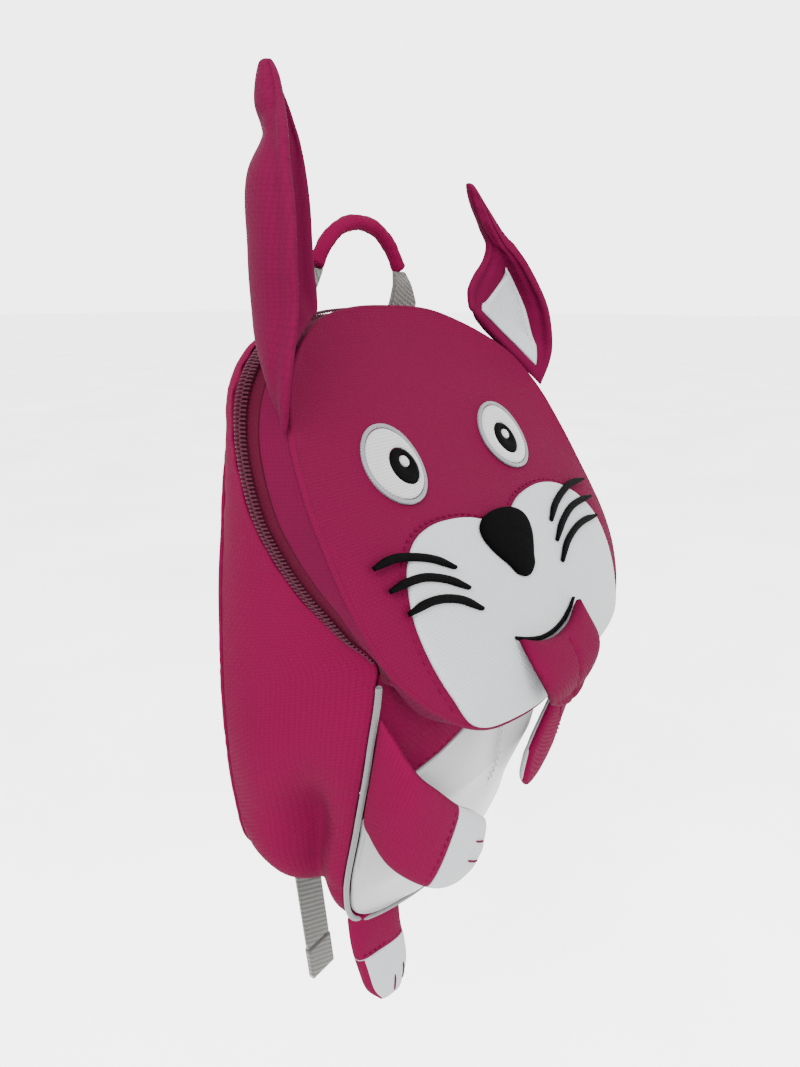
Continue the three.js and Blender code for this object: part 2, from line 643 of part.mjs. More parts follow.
function bellyShoulder(side) {
  const outline = [
    ...steps(1.04 * shoulderTop.x, neckSide[0].x, 4).map((x) => belowNeck(x)),
    ...steps(9.3, 10.9, 6).map((row) => pipingSide(row)),
    ...steps(0.94, 0.06, 6).map((t) => shoulderCurve.getPoint(t).add(vec(seamGap, seamGap, 0))),
  ].map(turn(side));
  const z = bagPoint(0, 0, 0.6).z;
  return bellyPad(outline, { x: side * 0.72 * halfWidth, y: z }, clothThickness);
}

// Piping in the seam between the gusset and the belly, from one end of the zipper to the other
const pipingStart = zipperEnd + 0.25;
const pipingPath = steps(pipingStart, 2 * lastBodyRow - pipingStart, 30).map((row) => frontEdge(row));
const piping = cord(pipingPath, pipingDiameter);

// A padded leaf between two edges, with an optional middle line that bows it. Its thickness thins to the edges.
function leafRings(edgeA, middle, edgeB, from, to, count, across, thickness) {
  const at = (t, u) => {
    const a = edgeA(t);
    const b = edgeB(t);
    const m = middle ? middle(t) : mix(a, b, 0.5);
    const bow = mix(a, b, 0.5).sub(m);
    return m.add(b.clone().sub(a).multiplyScalar(u / 2)).addScaledVector(bow, u * u);
  };
  const surface = (t, u, lift) => {
    const along = at(Math.min(t + 0.01, 1), u).sub(at(Math.max(t - 0.01, 0), u));
    const side = at(t, u + 0.02).sub(at(t, u - 0.02));
    return at(t, u).addScaledVector(side.cross(along).normalize(), lift);
  };
  const places = steps(-1, 1, across);
  const half = (t, u) => thickness(t) / 2 * lerp(0.45, 1, Math.sqrt(1 - u ** 4));
  const rings = steps(from, to, count).map((t) => [
    ...places.map((u) => surface(t, u, half(t, u))), ...[...places].reverse().map((u) => surface(t, u, -half(t, u))),
  ]);
  return { rings, surface, half };
}

const lineThrough = (points) => {
  const curve = new THREE.CatmullRomCurve3(points, false, "catmullrom", 0.5);
  return (t) => curve.getPoint(t);
};

// Ears. Shares of the half width (x), of the bag's depth (y) and of the ear's length above its seam (z):
// the outer edge, the fold behind and the inner edge of each cross-section, from the seam to the tip.
const earLeftRows = [
  { outX: 0.965, outY: 0.435, outZ: -0.105, midX: 0.795, midY: 0.31, midZ: 0.067, inX: 0.56, inY: 0.25, inZ: 0.223 },
  { outX: 0.98, outY: 0.475, outZ: 0.03, midX: 0.83, midY: 0.26, midZ: 0.15, inX: 0.565, inY: 0.255, inZ: 0.29 },
  { outX: 0.94, outY: 0.485, outZ: 0.22, midX: 0.83, midY: 0.235, midZ: 0.24, inX: 0.573, inY: 0.255, inZ: 0.33 },
  { outX: 0.945, outY: 0.49, outZ: 0.35, midX: 0.835, midY: 0.235, midZ: 0.37, inX: 0.58, inY: 0.255, inZ: 0.42 },
  { outX: 0.925, outY: 0.475, outZ: 0.48, midX: 0.835, midY: 0.235, midZ: 0.5, inX: 0.585, inY: 0.255, inZ: 0.52 },
  { outX: 0.9, outY: 0.44, outZ: 0.6, midX: 0.815, midY: 0.235, midZ: 0.6, inX: 0.6, inY: 0.255, inZ: 0.61 },
  { outX: 0.87, outY: 0.4, outZ: 0.7, midX: 0.78, midY: 0.235, midZ: 0.7, inX: 0.625, inY: 0.255, inZ: 0.7 },
  { outX: 0.81, outY: 0.345, outZ: 0.8, midX: 0.765, midY: 0.235, midZ: 0.79, inX: 0.66, inY: 0.25, inZ: 0.79 },
  { outX: 0.78, outY: 0.31, outZ: 0.885, midX: 0.76, midY: 0.24, midZ: 0.875, inX: 0.705, inY: 0.25, inZ: 0.88 },
  { outX: 0.76, outY: 0.275, outZ: 0.93, midX: 0.75, midY: 0.25, midZ: 0.935, inX: 0.74, inY: 0.25, inZ: 0.935 },
];
const earRightRows = [
  { outX: 0.968, outY: 0.435, outZ: -0.12, midX: 0.798, midY: 0.31, midZ: 0.088, inX: 0.56, inY: 0.25, inZ: 0.273 },
  { outX: 1.01, outY: 0.46, outZ: 0, midX: 0.85, midY: 0.27, midZ: 0.15, inX: 0.56, inY: 0.245, inZ: 0.33 },
  { outX: 1.015, outY: 0.465, outZ: 0.1, midX: 0.88, midY: 0.26, midZ: 0.21, inX: 0.563, inY: 0.245, inZ: 0.37 },
  { outX: 0.965, outY: 0.46, outZ: 0.25, midX: 0.875, midY: 0.28, midZ: 0.33, inX: 0.605, inY: 0.25, inZ: 0.43 },
  { outX: 0.88, outY: 0.44, outZ: 0.37, midX: 0.84, midY: 0.3, midZ: 0.44, inX: 0.67, inY: 0.26, inZ: 0.5 },
  { outX: 0.78, outY: 0.4, outZ: 0.5, midX: 0.765, midY: 0.31, midZ: 0.54, inX: 0.675, inY: 0.27, inZ: 0.575 },
  { outX: 0.7, outY: 0.345, outZ: 0.6, midX: 0.675, midY: 0.29, midZ: 0.625, inX: 0.62, inY: 0.26, inZ: 0.645 },
  { outX: 0.62, outY: 0.31, outZ: 0.71, midX: 0.59, midY: 0.28, midZ: 0.715, inX: 0.55, inY: 0.26, inZ: 0.72 },
  { outX: 0.55, outY: 0.285, outZ: 0.79, midX: 0.527, midY: 0.275, midZ: 0.805, inX: 0.5, inY: 0.265, inZ: 0.8 },
];
const earFoot = bagPoint(0, 0, 0.107).z;

function earShape(side, rows, length) {
  const column = (name) => lineThrough(rows.map((r) => vec(
    side * r[`${name}X`] * halfWidth, bagPoint(0, r[`${name}Y`], 0).y, earFoot + r[`${name}Z`] * length,
  )));
  const thickness = (t) => earThickness * lerp(0.45, 1, Math.sqrt(Math.sin(Math.PI * clamp(t * 0.9 + 0.08, 0, 1))));
  return { in: column("in"), mid: column("mid"), out: column("out"), thickness };
}

function ear(shape) {
  return loft(leafRings(shape.in, shape.mid, shape.out, 0, 1, 14, 6, shape.thickness).rings);
}

// White lining on the hollow side of the ear, a drop that narrows upwards
const liningFrom = 0.1;
const liningTo = 0.56;
const liningMiddle = 0.08;

function earLining(side, shape) {
  const leaf = leafRings(shape.in, shape.mid, shape.out, 0, 1, 1, 2, shape.thickness);
  const front = side;
  const rings = steps(0, 1, 9).map((k) => {
    const t = lerp(liningFrom, liningTo, k);
    const reach = 0.56 * Math.cos(k * Math.PI / 2) ** 0.7 + 0.03;
    const places = steps(liningMiddle - reach, liningMiddle + reach, 4);
    const lift = (u, add) => leaf.surface(t, u, front * (leaf.half(t, u) + add));
    return [
      ...places.map((u) => lift(u, patchGap)), ...[...places].reverse().map((u) => lift(u, patchGap + liningThickness)),
    ];
  });
  return loft(rings);
}

// Arms and legs: upper (a) and lower (b) edges from the seam to the tip, as bag shares
const armRows = [
  { ax: 0.877, ay: 0.745, az: 0.532, bx: 0.774, by: 0.588, bz: 0.745 },
  { ax: 0.81, ay: 0.84, az: 0.61, bx: 0.765, by: 0.7, bz: 0.8 },
  { ax: 0.67, ay: 0.86, az: 0.668, bx: 0.635, by: 0.775, bz: 0.855 },
  { ax: 0.53, ay: 0.86, az: 0.72, bx: 0.497, by: 0.805, bz: 0.883 },
  { ax: 0.39, ay: 0.855, az: 0.762, bx: 0.358, by: 0.815, bz: 0.887 },
  { ax: 0.29, ay: 0.85, az: 0.797, bx: 0.277, by: 0.83, bz: 0.86 },
];
const armRightRise = 14;
const handFrom = 0.56;
const legRows = [
  { ax: 0.5, ay: -0.02, az: -0.04, bx: -0.5, by: 0.02, bz: 0.04 },
  { ax: 0.5, ay: 0, az: 0.3, bx: -0.5, by: 0.01, bz: 0.42 },
  { ax: 0.45, ay: 0, az: 0.66, bx: -0.5, by: 0, bz: 0.78 },
  { ax: 0.26, ay: 0, az: 0.9, bx: -0.36, by: 0, bz: 1.0 },
  { ax: 0.02, ay: 0, az: 1.06, bx: -0.14, by: 0, bz: 1.1 },
];
const footFrom = 0.5;
const legRoot = { x: 0.455, y: 0.447, z: 0.998 };

function limbEdges(rows, place) {
  return { a: lineThrough(rows.map((r) => place(r.ax, r.ay, r.az))), b: lineThrough(rows.map((r) => place(r.bx, r.by, r.bz))) };
}

function armEdges(side, rise) {
  const rows = armRows.map((r, i) => ({ ...r, lift: rise * smoothstep(i, 0, 3) }));
  const place = (r, x, y, z) => {
    const p = bagPoint(side * x, y, z);
    return p.setZ(p.z + r.lift);
  };
  return {
    a: lineThrough(rows.map((r) => place(r, r.ax, r.ay, r.az))),
    b: lineThrough(rows.map((r) => place(r, r.bx, r.by, r.bz))),
  };
}

function legEdges(side) {
  const root = bagPoint(side * legRoot.x, legRoot.y, legRoot.z);
  return limbEdges(legRows, (x, y, z) => vec(
    root.x + side * x * legWidth, root.y - y * legLength, root.z - z * legLength,
  ));
}

function limb(edges, from, to, count, thickness) {
  const puffed = (t) => thickness * lerp(0.5, 1, Math.sqrt(Math.sin(Math.PI * clamp(0.1 + 0.84 * t, 0, 1))));
  return loft(leafRings(edges.a, null, edges.b, from, to, count, 4, puffed).rings);
}
const seamShare = 0.008;

// Carry loop
const crown = sleeveDiameter / 2;
const sleeveRows = [
  { x: -1, z: -1 },
  { x: -0.74, z: -0.46 },
  { x: -0.4, z: -0.11 },
  { x: 0, z: 0 },
  { x: 0.4, z: -0.11 },
  { x: 0.74, z: -0.46 },
  { x: 1, z: -1 },
];
const sleeveLine = lineThrough(sleeveRows.map((r) => vec(r.x * sleeveSpan / 2, 0, crown + r.z * sleeveRise)));
const sleeve = cord(steps(0, 1, 16).map(sleeveLine), sleeveDiameter, 8);

// A flat strap along a path; "across" gives its width's direction and its width at each place.
function strap(path, across, thickness) {
  return loft(path.map((p, i) => {
    const along = path[Math.min(i + 1, path.length - 1)].clone().sub(path[Math.max(i - 1, 0)]);
    const w = across(i);
    const n = along.cross(w).normalize().multiplyScalar(thickness / 2);
    const half = w.clone().multiplyScalar(0.5);
    return [
      p.clone().sub(half).sub(n), p.clone().add(half).sub(n), p.clone().add(half).add(n), p.clone().sub(half).add(n),
    ];
  }));
}
const backFace = hangToBack + backEdgeThickness + backCrown;
const carryWebY = backFace + seamGap + carryWebThickness / 2;
const topBackZ = bagPoint(0, 0, 0.024).z;
const webRows = [
  { x: 0, y: 0, z: 0.04, width: 0.36 },
  { x: 0.35, y: 0.12, z: 0.3, width: 0.6 },
  { x: 0.75, y: 0.45, z: 0.65, width: 0.9 },
  { x: 0.95, y: 0.8, z: 0.88, width: 1 },
  { x: 1, y: 1, z: 1.1, width: 1 },
];

function carryWeb(side) {
  const top = vec(sleeveSpan / 2, 0, crown - sleeveRise - 2);
  const foot = vec(carryWebSpacing / 2, carryWebY, topBackZ);
  const rows = webRows.map((r) => vec(
    side * lerp(top.x, foot.x, r.x), lerp(top.y, foot.y, r.y), lerp(top.z, foot.z, r.z),
  ));
  const end = rows[rows.length - 1].clone();
  end.z = topBackZ - carryWebSewn;
  const widths = [...webRows.map((r) => r.width), 1];
  return strap([...rows, end], (i) => vec(carryWebWidth * widths[i], 0, 0), carryWebThickness);
}

// Shoulder straps: the pad's middle line behind the back panel, as shares of the bag and of the pad's bow
const padRows = [
  { x: 0.42, bow: 0, z: 0.125, width: 0.8 },
  { x: 0.43, bow: 0.32, z: 0.2, width: 0.95 },
  { x: 0.46, bow: 0.75, z: 0.3, width: 1 },
  { x: 0.5, bow: 1, z: 0.42, width: 1 },
  { x: 0.53, bow: 0.85, z: 0.53, width: 0.92 },
  { x: 0.55, bow: 0.55, z: 0.62, width: 0.7 },
  { x: 0.555, bow: 0.42, z: 0.66, width: 0.5 },
];
const padRootY = backFace + seamGap + padThickness / 2;

function padEdges(side) {
  const place = (r, way) => vec(
    side * (r.x * halfWidth + way * r.width * padWidth / 2), padRootY + r.bow * padBow, bagPoint(0, 0, r.z).z,
  );
  return { a: lineThrough(padRows.map((r) => place(r, -1))), b: lineThrough(padRows.map((r) => place(r, 1))) };
}

function shoulderPad(side) {
  const edges = padEdges(side);
  return loft(leafRings(edges.a, null, edges.b, 0, 1, 10, 4, () => padThickness).rings);
}

const padEnd = padRows[padRows.length - 1];
const padFoot = vec(padEnd.x * halfWidth, padRootY + padEnd.bow * padBow, bagPoint(0, 0, padEnd.z).z);
const lockMiddle = vec(padFoot.x, padFoot.y, padFoot.z - lockHeight / 2 - 6);
const lockWindow = (lockHeight - 3 * lockBar) / 2;

// Ladder lock: a flat frame with a bar across its middle
function ladderLock(side) {
  const outline = new THREE.Shape();
  const w = lockWidth / 2;
  const h = lockHeight / 2;
  outline.moveTo(-w, -h).lineTo(w, -h).lineTo(w, h).lineTo(-w, h).closePath();
  const innerW = strapWebWidth / 2 + 2 * seamGap;
  for (const low of [-h + lockBar, lockBar / 2]) {
    const hole = new THREE.Path();
    hole.moveTo(-innerW, low).lineTo(-innerW, low + lockWindow).lineTo(innerW, low + lockWindow)
      .lineTo(innerW, low).closePath();
    outline.holes.push(hole);
  }
  const geometry = new THREE.ExtrudeGeometry(outline, { depth: lockThickness, bevelEnabled: false });
  geometry.translate(0, 0, -lockThickness / 2);
  geometry.rotateX(Math.PI / 2);
  geometry.translate(side * lockMiddle.x, lockMiddle.y, lockMiddle.z);
  return geometry;
}
const passY = lockThickness / 2 + seamGap + strapWebThickness / 2;
const passZ = seamGap + strapWebThickness / 2;
const acrossStrap = () => vec(strapWebWidth, 0, 0);

// Web from the pad's end round the lock's upper bar
function padWeb(side) {
  const barUnder = lockMiddle.z + lockHeight / 2 - lockBar - passZ;
  const x = side * lockMiddle.x;
  return strap([
    vec(x, lockMiddle.y - passY, padFoot.z - 1.5),
    vec(x, lockMiddle.y - passY, barUnder + 1),
    vec(x, lockMiddle.y - passY + 1, barUnder),
    vec(x, lockMiddle.y + passY - 1, barUnder),
    vec(x, lockMiddle.y + passY, barUnder + 1),
    vec(x, lockMiddle.y + passY, padFoot.z - 1.5),
  ], acrossStrap, strapWebThickness);
}

// Adjusting web: from the bag's lower corner up to the lock, over its middle bar and down as a loose tail
const anchor = { x: 0.6, z: 0.86 };
const tailFoot = { x: 0.28, y: 9 };

function adjustWeb(side) {
  const x = side * lockMiddle.x;
  const over = lockMiddle.z + lockBar / 2 + passZ;
  const rest = backFace + seamGap + strapWebThickness / 2;
  const foot = vec(side * anchor.x * halfWidth, rest, bagPoint(0, 0, anchor.z).z);
  return strap([
    foot,
    foot.clone().add(vec(0, 0, 12)),
    vec(lerp(foot.x, x, 0.6), lockMiddle.y - passY - 2, lockMiddle.z - lockHeight / 2 - 6),
    vec(x, lockMiddle.y - passY, lockMiddle.z - lockBar),
    vec(x, lockMiddle.y - passY, over - 1),
    vec(x, lockMiddle.y - passY + 1, over),
    vec(x, lockMiddle.y + passY - 1, over),
    vec(x, lockMiddle.y + passY, over - 1),
    vec(x, lockMiddle.y + passY, lockMiddle.z - lockHeight / 2 - 3),
    ...tailPath(side),
  ], acrossStrap, strapWebThickness);
}

const tailTopZ = bagPoint(0, 0, 0.86).z;
const tailMiddle = lerp(lockMiddle.x, tailFoot.x * halfWidth, 0.6);
const tailEnd = vec(tailFoot.x * halfWidth, backFace + tailFoot.y - 2, tailTopZ - tailLength);

function tailPath(side) {
  const full = vec(tailMiddle, backFace + tailFoot.y, tailTopZ);
  return [full, mix(full, tailEnd, 0.5), mix(full, tailEnd, 1 - tipLength / tailLength)]
    .map(turn(side));
}

// Folded end of the strap, twice as thick
function strapTip(side) {
  const above = tailPath(side)[2];
  const end = turn(side)(tailEnd);
  const start = mix(above, end, 2 * seamGap / tipLength);
  return strap([start, end], acrossStrap, 2 * strapWebThickness);
}

// Zipper slider and its pull, parked near the right-hand end
const sliderRow = 8.2;
const rowsPerLength = 0.5 / frontEdge(sliderRow - 0.25).distanceTo(frontEdge(sliderRow + 0.25));

function zipperSlider() {
  const span = sliderLength * rowsPerLength / 2;
  const lines = steps(sliderRow - span, sliderRow + span, 4).map((row) => {
    const half = sliderWidth / 2 / tapeEdges(row).width;
    return tapeLine(row, coilShare - half, coilShare + half, 3);
  });
  const foot = seamGap + coilHeight + seamGap;
  return wall(offsetLines(lines, foot + sliderHeight, bagMiddle, false), offsetLines(lines, foot, bagMiddle, false), false);
}

function zipperPull() {
  const centre = coilLine(sliderRow);
  const outward = mix(centre[1], centre[2], 0.5).sub(bagMiddle).setZ(0).normalize();
  const start = mix(centre[1], centre[2], 0.5).addScaledVector(outward, coilHeight + sliderHeight + 2.8);
  const width = outward.clone().cross(vec(0, 0, 1)).normalize().multiplyScalar(sliderWidth * 0.8);
  return strap([start, start.clone().add(vec(0, 0, -pullLength))], () => width, pullThickness);
}

const bag = new THREE.Group();
bag.name = "rabbit_backpack";

function add(name, geometry, look) {
  const material = new THREE.MeshStandardMaterial({ color: look.color, roughness: look.roughness, metalness: 0 });
  const mesh = new THREE.Mesh(geometry, material);
  mesh.name = name;
  bag.add(mesh);
}

add("back_panel", backPanel, pink);
add("side_gusset", sideGusset, pink);
add("zipper_tape", zipperTape, pink);
add("zipper_coil", zipperCoil, pink);
add("zipper_slider", zipperSlider(), pink);
add("zipper_pull", zipperPull(), pink);
add("head_gusset", headGusset, pink);
add("face_panel", facePanel, pink);
add("muzzle", muzzlePatch, white);
add("nose", nose, black);
add("mouth_line", mouth, black);
add("tongue", tongue, pink);
add("belly_white", bellyWhite, white);
add("piping", piping, silver);
add("handle_sleeve", sleeve, pink);

for (const [name, side] of [["left", -1], ["right", 1]]) {
  const eye = eyeParts(side);
  add(`eye_rim_${name}`, eye.rim, silver);
  add(`eye_white_${name}`, eye.ball, white);
  add(`pupil_${name}`, eye.pupil, black);
  add(`glint_${name}`, eye.glint, white);
  for (const index of [0, 1, 2]) add(`whisker_${name}_${index + 1}`, whisker(side, index), black);
  add(`shoulder_${name}`, bellyShoulder(side), pink);
  const shape = side < 0
    ? earShape(side, earLeftRows, earLeftLength)
    : earShape(side, earRightRows, earRightLength);
  add(`ear_${name}`, ear(shape), pink);
  add(`ear_lining_${name}`, earLining(side, shape), white);
  const arm = armEdges(side, side < 0 ? 0 : armRightRise);
  add(`arm_${name}`, limb(arm, 0, handFrom, 6, armThickness), pink);
  add(`hand_${name}`, limb(arm, handFrom + seamShare, 1, 6, armThickness), white);
  const leg = legEdges(side);
  add(`leg_${name}`, limb(leg, 0, footFrom, 5, legThickness), pink);
  add(`foot_${name}`, limb(leg, footFrom + seamShare, 1, 6, legThickness), white);
  add(`handle_web_${name}`, carryWeb(side), grey);
  add(`shoulder_pad_${name}`, shoulderPad(side), pink);
  add(`pad_web_${name}`, padWeb(side), grey);
  add(`ladder_lock_${name}`, ladderLock(side), hardPlastic);
  add(`adjust_web_${name}`, adjustWeb(side), grey);
  add(`strap_tip_${name}`, strapTip(side), grey);
}

export default bag;
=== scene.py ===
# Looks of the child's rabbit backpack. Sizes are millimetres until a mesh is made; the frame is the CAD one.
import math

import bmesh
import bpy
import numpy as np
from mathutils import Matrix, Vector


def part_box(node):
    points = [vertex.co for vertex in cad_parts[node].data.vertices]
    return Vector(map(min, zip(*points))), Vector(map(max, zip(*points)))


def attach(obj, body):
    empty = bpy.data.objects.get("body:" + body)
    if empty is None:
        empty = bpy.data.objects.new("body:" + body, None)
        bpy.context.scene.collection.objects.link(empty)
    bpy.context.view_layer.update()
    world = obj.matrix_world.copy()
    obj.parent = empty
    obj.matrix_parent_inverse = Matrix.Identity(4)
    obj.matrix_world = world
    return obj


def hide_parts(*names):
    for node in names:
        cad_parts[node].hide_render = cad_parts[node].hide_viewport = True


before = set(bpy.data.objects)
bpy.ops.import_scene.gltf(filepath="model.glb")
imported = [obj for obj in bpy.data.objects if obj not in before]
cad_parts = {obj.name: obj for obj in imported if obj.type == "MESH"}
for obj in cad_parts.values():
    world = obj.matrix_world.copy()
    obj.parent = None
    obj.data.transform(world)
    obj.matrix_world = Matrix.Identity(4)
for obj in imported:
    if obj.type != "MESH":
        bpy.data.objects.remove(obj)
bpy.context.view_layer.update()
MM = 0.001

# Driving sizes, as in the CAD source
bag_width, bag_height, bag_depth = 173.0, 231.0, 93.0
hang_to_top, hang_to_back = 27.0, 3.0
cloth, seam_gap, side_bulge, bottom_dent = 1.6, 0.3, 6.0, 13.0
chin_droop, muzzle_puff, forehead_sink = 9.5, 4.5, 2.0
tape_back, tape_front, tape_narrow, tape_recess = 5.0, 7.0, 0.68, 0.5
half_width = bag_width / 2
# Rows of the outlines below: the zipper's end, and the last row of the body's and of the face's
ZIP_END, LAST_BODY, LAST_FACE = 9, 15, 13
SIDES = ((-1, "left"), (1, "right"))
tuck = 2.0 + seam_gap  # how far behind the face's seam the head's cloth ends
EDGE = 0.12  # share of its thickness that a padded leaf keeps at its edge


def vec(*p):
    return np.array(p, float)


def xy(P):
    return P[..., 0], P[..., 1]


def bag_point(x, y, z):
    x, y, z = np.broadcast_arrays(np.asarray(x, float), y, z)
    return np.stack([x * half_width, hang_to_back - y * bag_depth, -hang_to_top - z * bag_height], -1)


def bag_level(share):
    """Height of a place on the bag; share is counted from its top."""
    return float(bag_point(0, 0, share)[2])


def pairs(a, b):
    """A grid of points (a, b)."""
    return np.stack(np.meshgrid(a, b, indexing="ij"), -1)


def full_turn(count):
    return np.linspace(0, 2 * math.pi, count, endpoint=False)


def run_length(path):
    """Length along a path at each of its points."""
    return np.r_[0, np.cumsum(np.linalg.norm(np.diff(path, axis=0), axis=1))]


def smoothstep(x, low, high):
    t = np.clip((np.asarray(x, float) - low) / (high - low), 0, 1)
    return t * t * (3 - 2 * t)


def unit(v):
    return v / np.maximum(np.linalg.norm(v, axis=-1, keepdims=True), 1e-12)


def smooth_line(points, closed=False):
    """A smooth line through points; its parameter is the row number."""
    P = np.asarray(points, float)
    if P.ndim == 1:
        P = P[:, None]
    n = len(P)
    padded = np.vstack([2 * P[0] - P[1], P, 2 * P[-1] - P[-2]])

    def at(t):
        t = np.asarray(t, float)
        if closed:
            i = np.floor(t).astype(int)
            a, b, c, d = (P[(i + k) % n] for k in (-1, 0, 1, 2))
        else:
            t = np.clip(t, 0, n - 1)
            i = np.minimum(np.floor(t).astype(int), n - 2)
            a, b, c, d = (padded[i + k] for k in range(4))
        w = (t - i)[..., None]
        out = 0.5 * (2 * b + (c - a) * w + (2 * a - 5 * b + 4 * c - d) * w**2 + (3 * b - a - 3 * c + d) * w**3)
        return out if out.shape[-1] > 1 else out[..., 0]

    return at


def mirrored(points):
    P = np.asarray(points, float)
    back = P[1:-1][::-1] * np.array([-1] + [1] * (P.shape[1] - 1))
    return smooth_line(np.vstack([P, back]), True)


def fold_row(row, last):
    r = np.mod(row, 2 * last)
    return np.where(r > last, 2 * last - r, r)


BODY = np.array([
    # backX, backZ, frontX, frontY, frontZ, bulge, dent
    [0, 0.022, 0, 0.054, 0.01, 0.15, 0],
    [0.324, 0.024, 0.324, 0.054, 0.013, 0.15, 0],
    [0.6, 0.048, 0.63, 0.07, 0.037, 0.25, 0],
    [0.755, 0.104, 0.844, 0.108, 0.095, 0.3, 0],
    [0.79, 0.177, 0.925, 0.151, 0.169, 0.3, 0],
    [0.83, 0.264, 0.971, 0.247, 0.26, 0.3, 0],
    [0.855, 0.333, 0.983, 0.355, 0.32, 0.4, 0],
    [0.88, 0.411, 0.977, 0.484, 0.372, 0.5, 0],
    [0.895, 0.489, 0.948, 0.624, 0.413, 0.65, 0],
    [0.905, 0.567, 0.896, 0.747, 0.455, 0.8, 0],
    [0.9, 0.671, 0.844, 0.672, 0.602, 1, 0.15],
    [0.875, 0.771, 0.763, 0.548, 0.762, 0.85, 0.9],
    [0.81, 0.872, 0.69, 0.43, 0.922, 0.65, 1],
    [0.61, 0.93, 0.578, 0.398, 1.013, 0.5, 0.55],
    [0.3, 0.942, 0.3, 0.45, 1.035, 0.3, 0.15],
    [0, 0.944, 0, 0.475, 1.04, 0.3, 0],
])
FACE = np.array([
    # seamX, seamS, muzzleX, muzzleS, droop
    [0, 0, 0, 0.5815, 0],
    [0.324, 0.005, 0.104, 0.556, 0],
    [0.578, 0.042, 0.208, 0.5335, 0],
    [0.792, 0.134, 0.324, 0.522, 0],
    [0.931, 0.262, 0.451, 0.5195, 0],
    [0.988, 0.396, 0.578, 0.5335, 0],
    [1, 0.498, 0.676, 0.5655, 0],
    [1, 0.588, 0.746, 0.61, 0],
    [0.983, 0.677, 0.792, 0.677, 0],
    [0.931, 0.767, 0.79, 0.76, 0],
    [0.821, 0.853, 0.746, 0.8435, 0],
    [0.653, 0.9265, 0.653, 0.9265, 0.1],
    [0.393, 0.9745, 0.393, 0.9745, 0.62],
    [0, 1, 0, 1, 1],
])
NECK = [(0.763, 0.502), (0.578, 0.537), (0.324, 0.561), (0, 0.569)]
BELLY_MID = [0.801, 0.785, 0.753, 0.62, 0.5]

back_edge = mirrored(bag_point(BODY[:, 0], 0, BODY[:, 1]))
front_edge = mirrored(bag_point(BODY[:, 2], BODY[:, 3], BODY[:, 4]))
bulge_share = smooth_line(BODY[:, 5])
dent_share = smooth_line(BODY[:, 6])
bag_middle = bag_point(0, 0.45, 0.45)

face_top = bag_point(0, 0.226, 0)
face_foot = bag_point(0, 1.054, 0.59)
face_length = float(np.linalg.norm(face_foot - face_top))
face_down = unit(face_foot - face_top)
face_normal = np.cross(face_down, vec(1, 0, 0))
if face_normal[1] > 0:
    face_normal = -face_normal


def on_face(x, s, height):
    x, s, height = np.broadcast_arrays(np.asarray(x, float), s, height)
    return face_top + x[..., None] * vec(1, 0, 0) + s[..., None] * face_down + height[..., None] * face_normal


right_cheek, cheek_level, cheek_reach = 4.0, 0.72, 0.2
right_brow, brow_middle, brow_reach, brow_depth = 7.0, 0.62, 0.34, 45.0
face_shift, whisker_shift = -2.6, {"left": -13.0, "right": -8.0}


def face_loop(xs, ss):
    """An outline on the face from its right half; the right cheek and brow are fuller than the left ones."""
    loop = mirrored(np.stack([xs * half_width, ss * face_length], 1))

    def plan(row):
        p = loop(row)
        beside = np.exp(-(((p[..., 1] / face_length - cheek_level) / cheek_reach) ** 2))
        x = p[..., 0] + right_cheek * beside * np.maximum(p[..., 0], 0) / half_width
        above = np.clip(1 - p[..., 1] / brow_depth, 0, 1)
        brow = np.exp(-(((x / half_width - brow_middle) / brow_reach) ** 2)) * above
        return np.stack([x, p[..., 1] + right_brow * brow], -1)

    return plan


seam_plan = face_loop(*xy(FACE))
muzzle_plan = face_loop(FACE[:, 2], FACE[:, 3])
droop_share = smooth_line(FACE[:, 4])
seam_rows = np.linspace(-LAST_FACE, LAST_FACE, 80 * LAST_FACE + 1)[1:-1]
seam_points = seam_plan(seam_rows)
seam_angle = np.arctan2(seam_points[:, 0], face_length / 2 - seam_points[:, 1])
seam_radius = np.hypot(seam_points[:, 0], seam_points[:, 1] - face_length / 2)
seam_droop = droop_share(np.abs(seam_rows))


def rim_share(x, s):
    """How far out a point of the face is, and the droop of the seam it points to."""
    angle = np.arctan2(x, face_length / 2 - s)
    radius = np.interp(angle, seam_angle, seam_radius)
    return np.hypot(x, s - face_length / 2) / radius, np.interp(angle, seam_angle, seam_droop)


def puff(x, s):
    share, droop = rim_share(x, s)
    rim = np.minimum(share, 1) ** 8
    inner = -forehead_sink + (muzzle_puff + forehead_sink) * smoothstep(s / face_length, 0.32, 0.67)
    return inner * (1 - rim) - droop * chin_droop * rim


def face_point(x, s, lift=0.0):
    return on_face(x, s, puff(x, s) + lift)


def face_normal_at(x, s):
    e = 0.5
    du = face_point(x + e, s) - face_point(x - e, s)
    dv = face_point(x, s + e) - face_point(x, s - e)
    n = unit(np.cross(du, dv))
    return n * np.sign(n @ face_normal)[..., None]


def seam_edge(row, depth=0.0):
    p = seam_plan(row)
    return on_face(*xy(p), -chin_droop * droop_share(fold_row(row, LAST_FACE)) - depth)


# Soft, seeded undulation of cloth, in millimetres
def ripple(P, wavelength, seed):
    r = np.random.default_rng(seed)
    out = np.zeros(P.shape[:-1])
    for _ in range(9):
        k = unit(r.normal(size=3)) * 2 * math.pi / (wavelength * r.uniform(0.7, 1.5))
        out += np.sin(P @ k + r.uniform(0, 6.28)) * r.uniform(0.5, 1)
    return out / 3.2


# ---- meshes


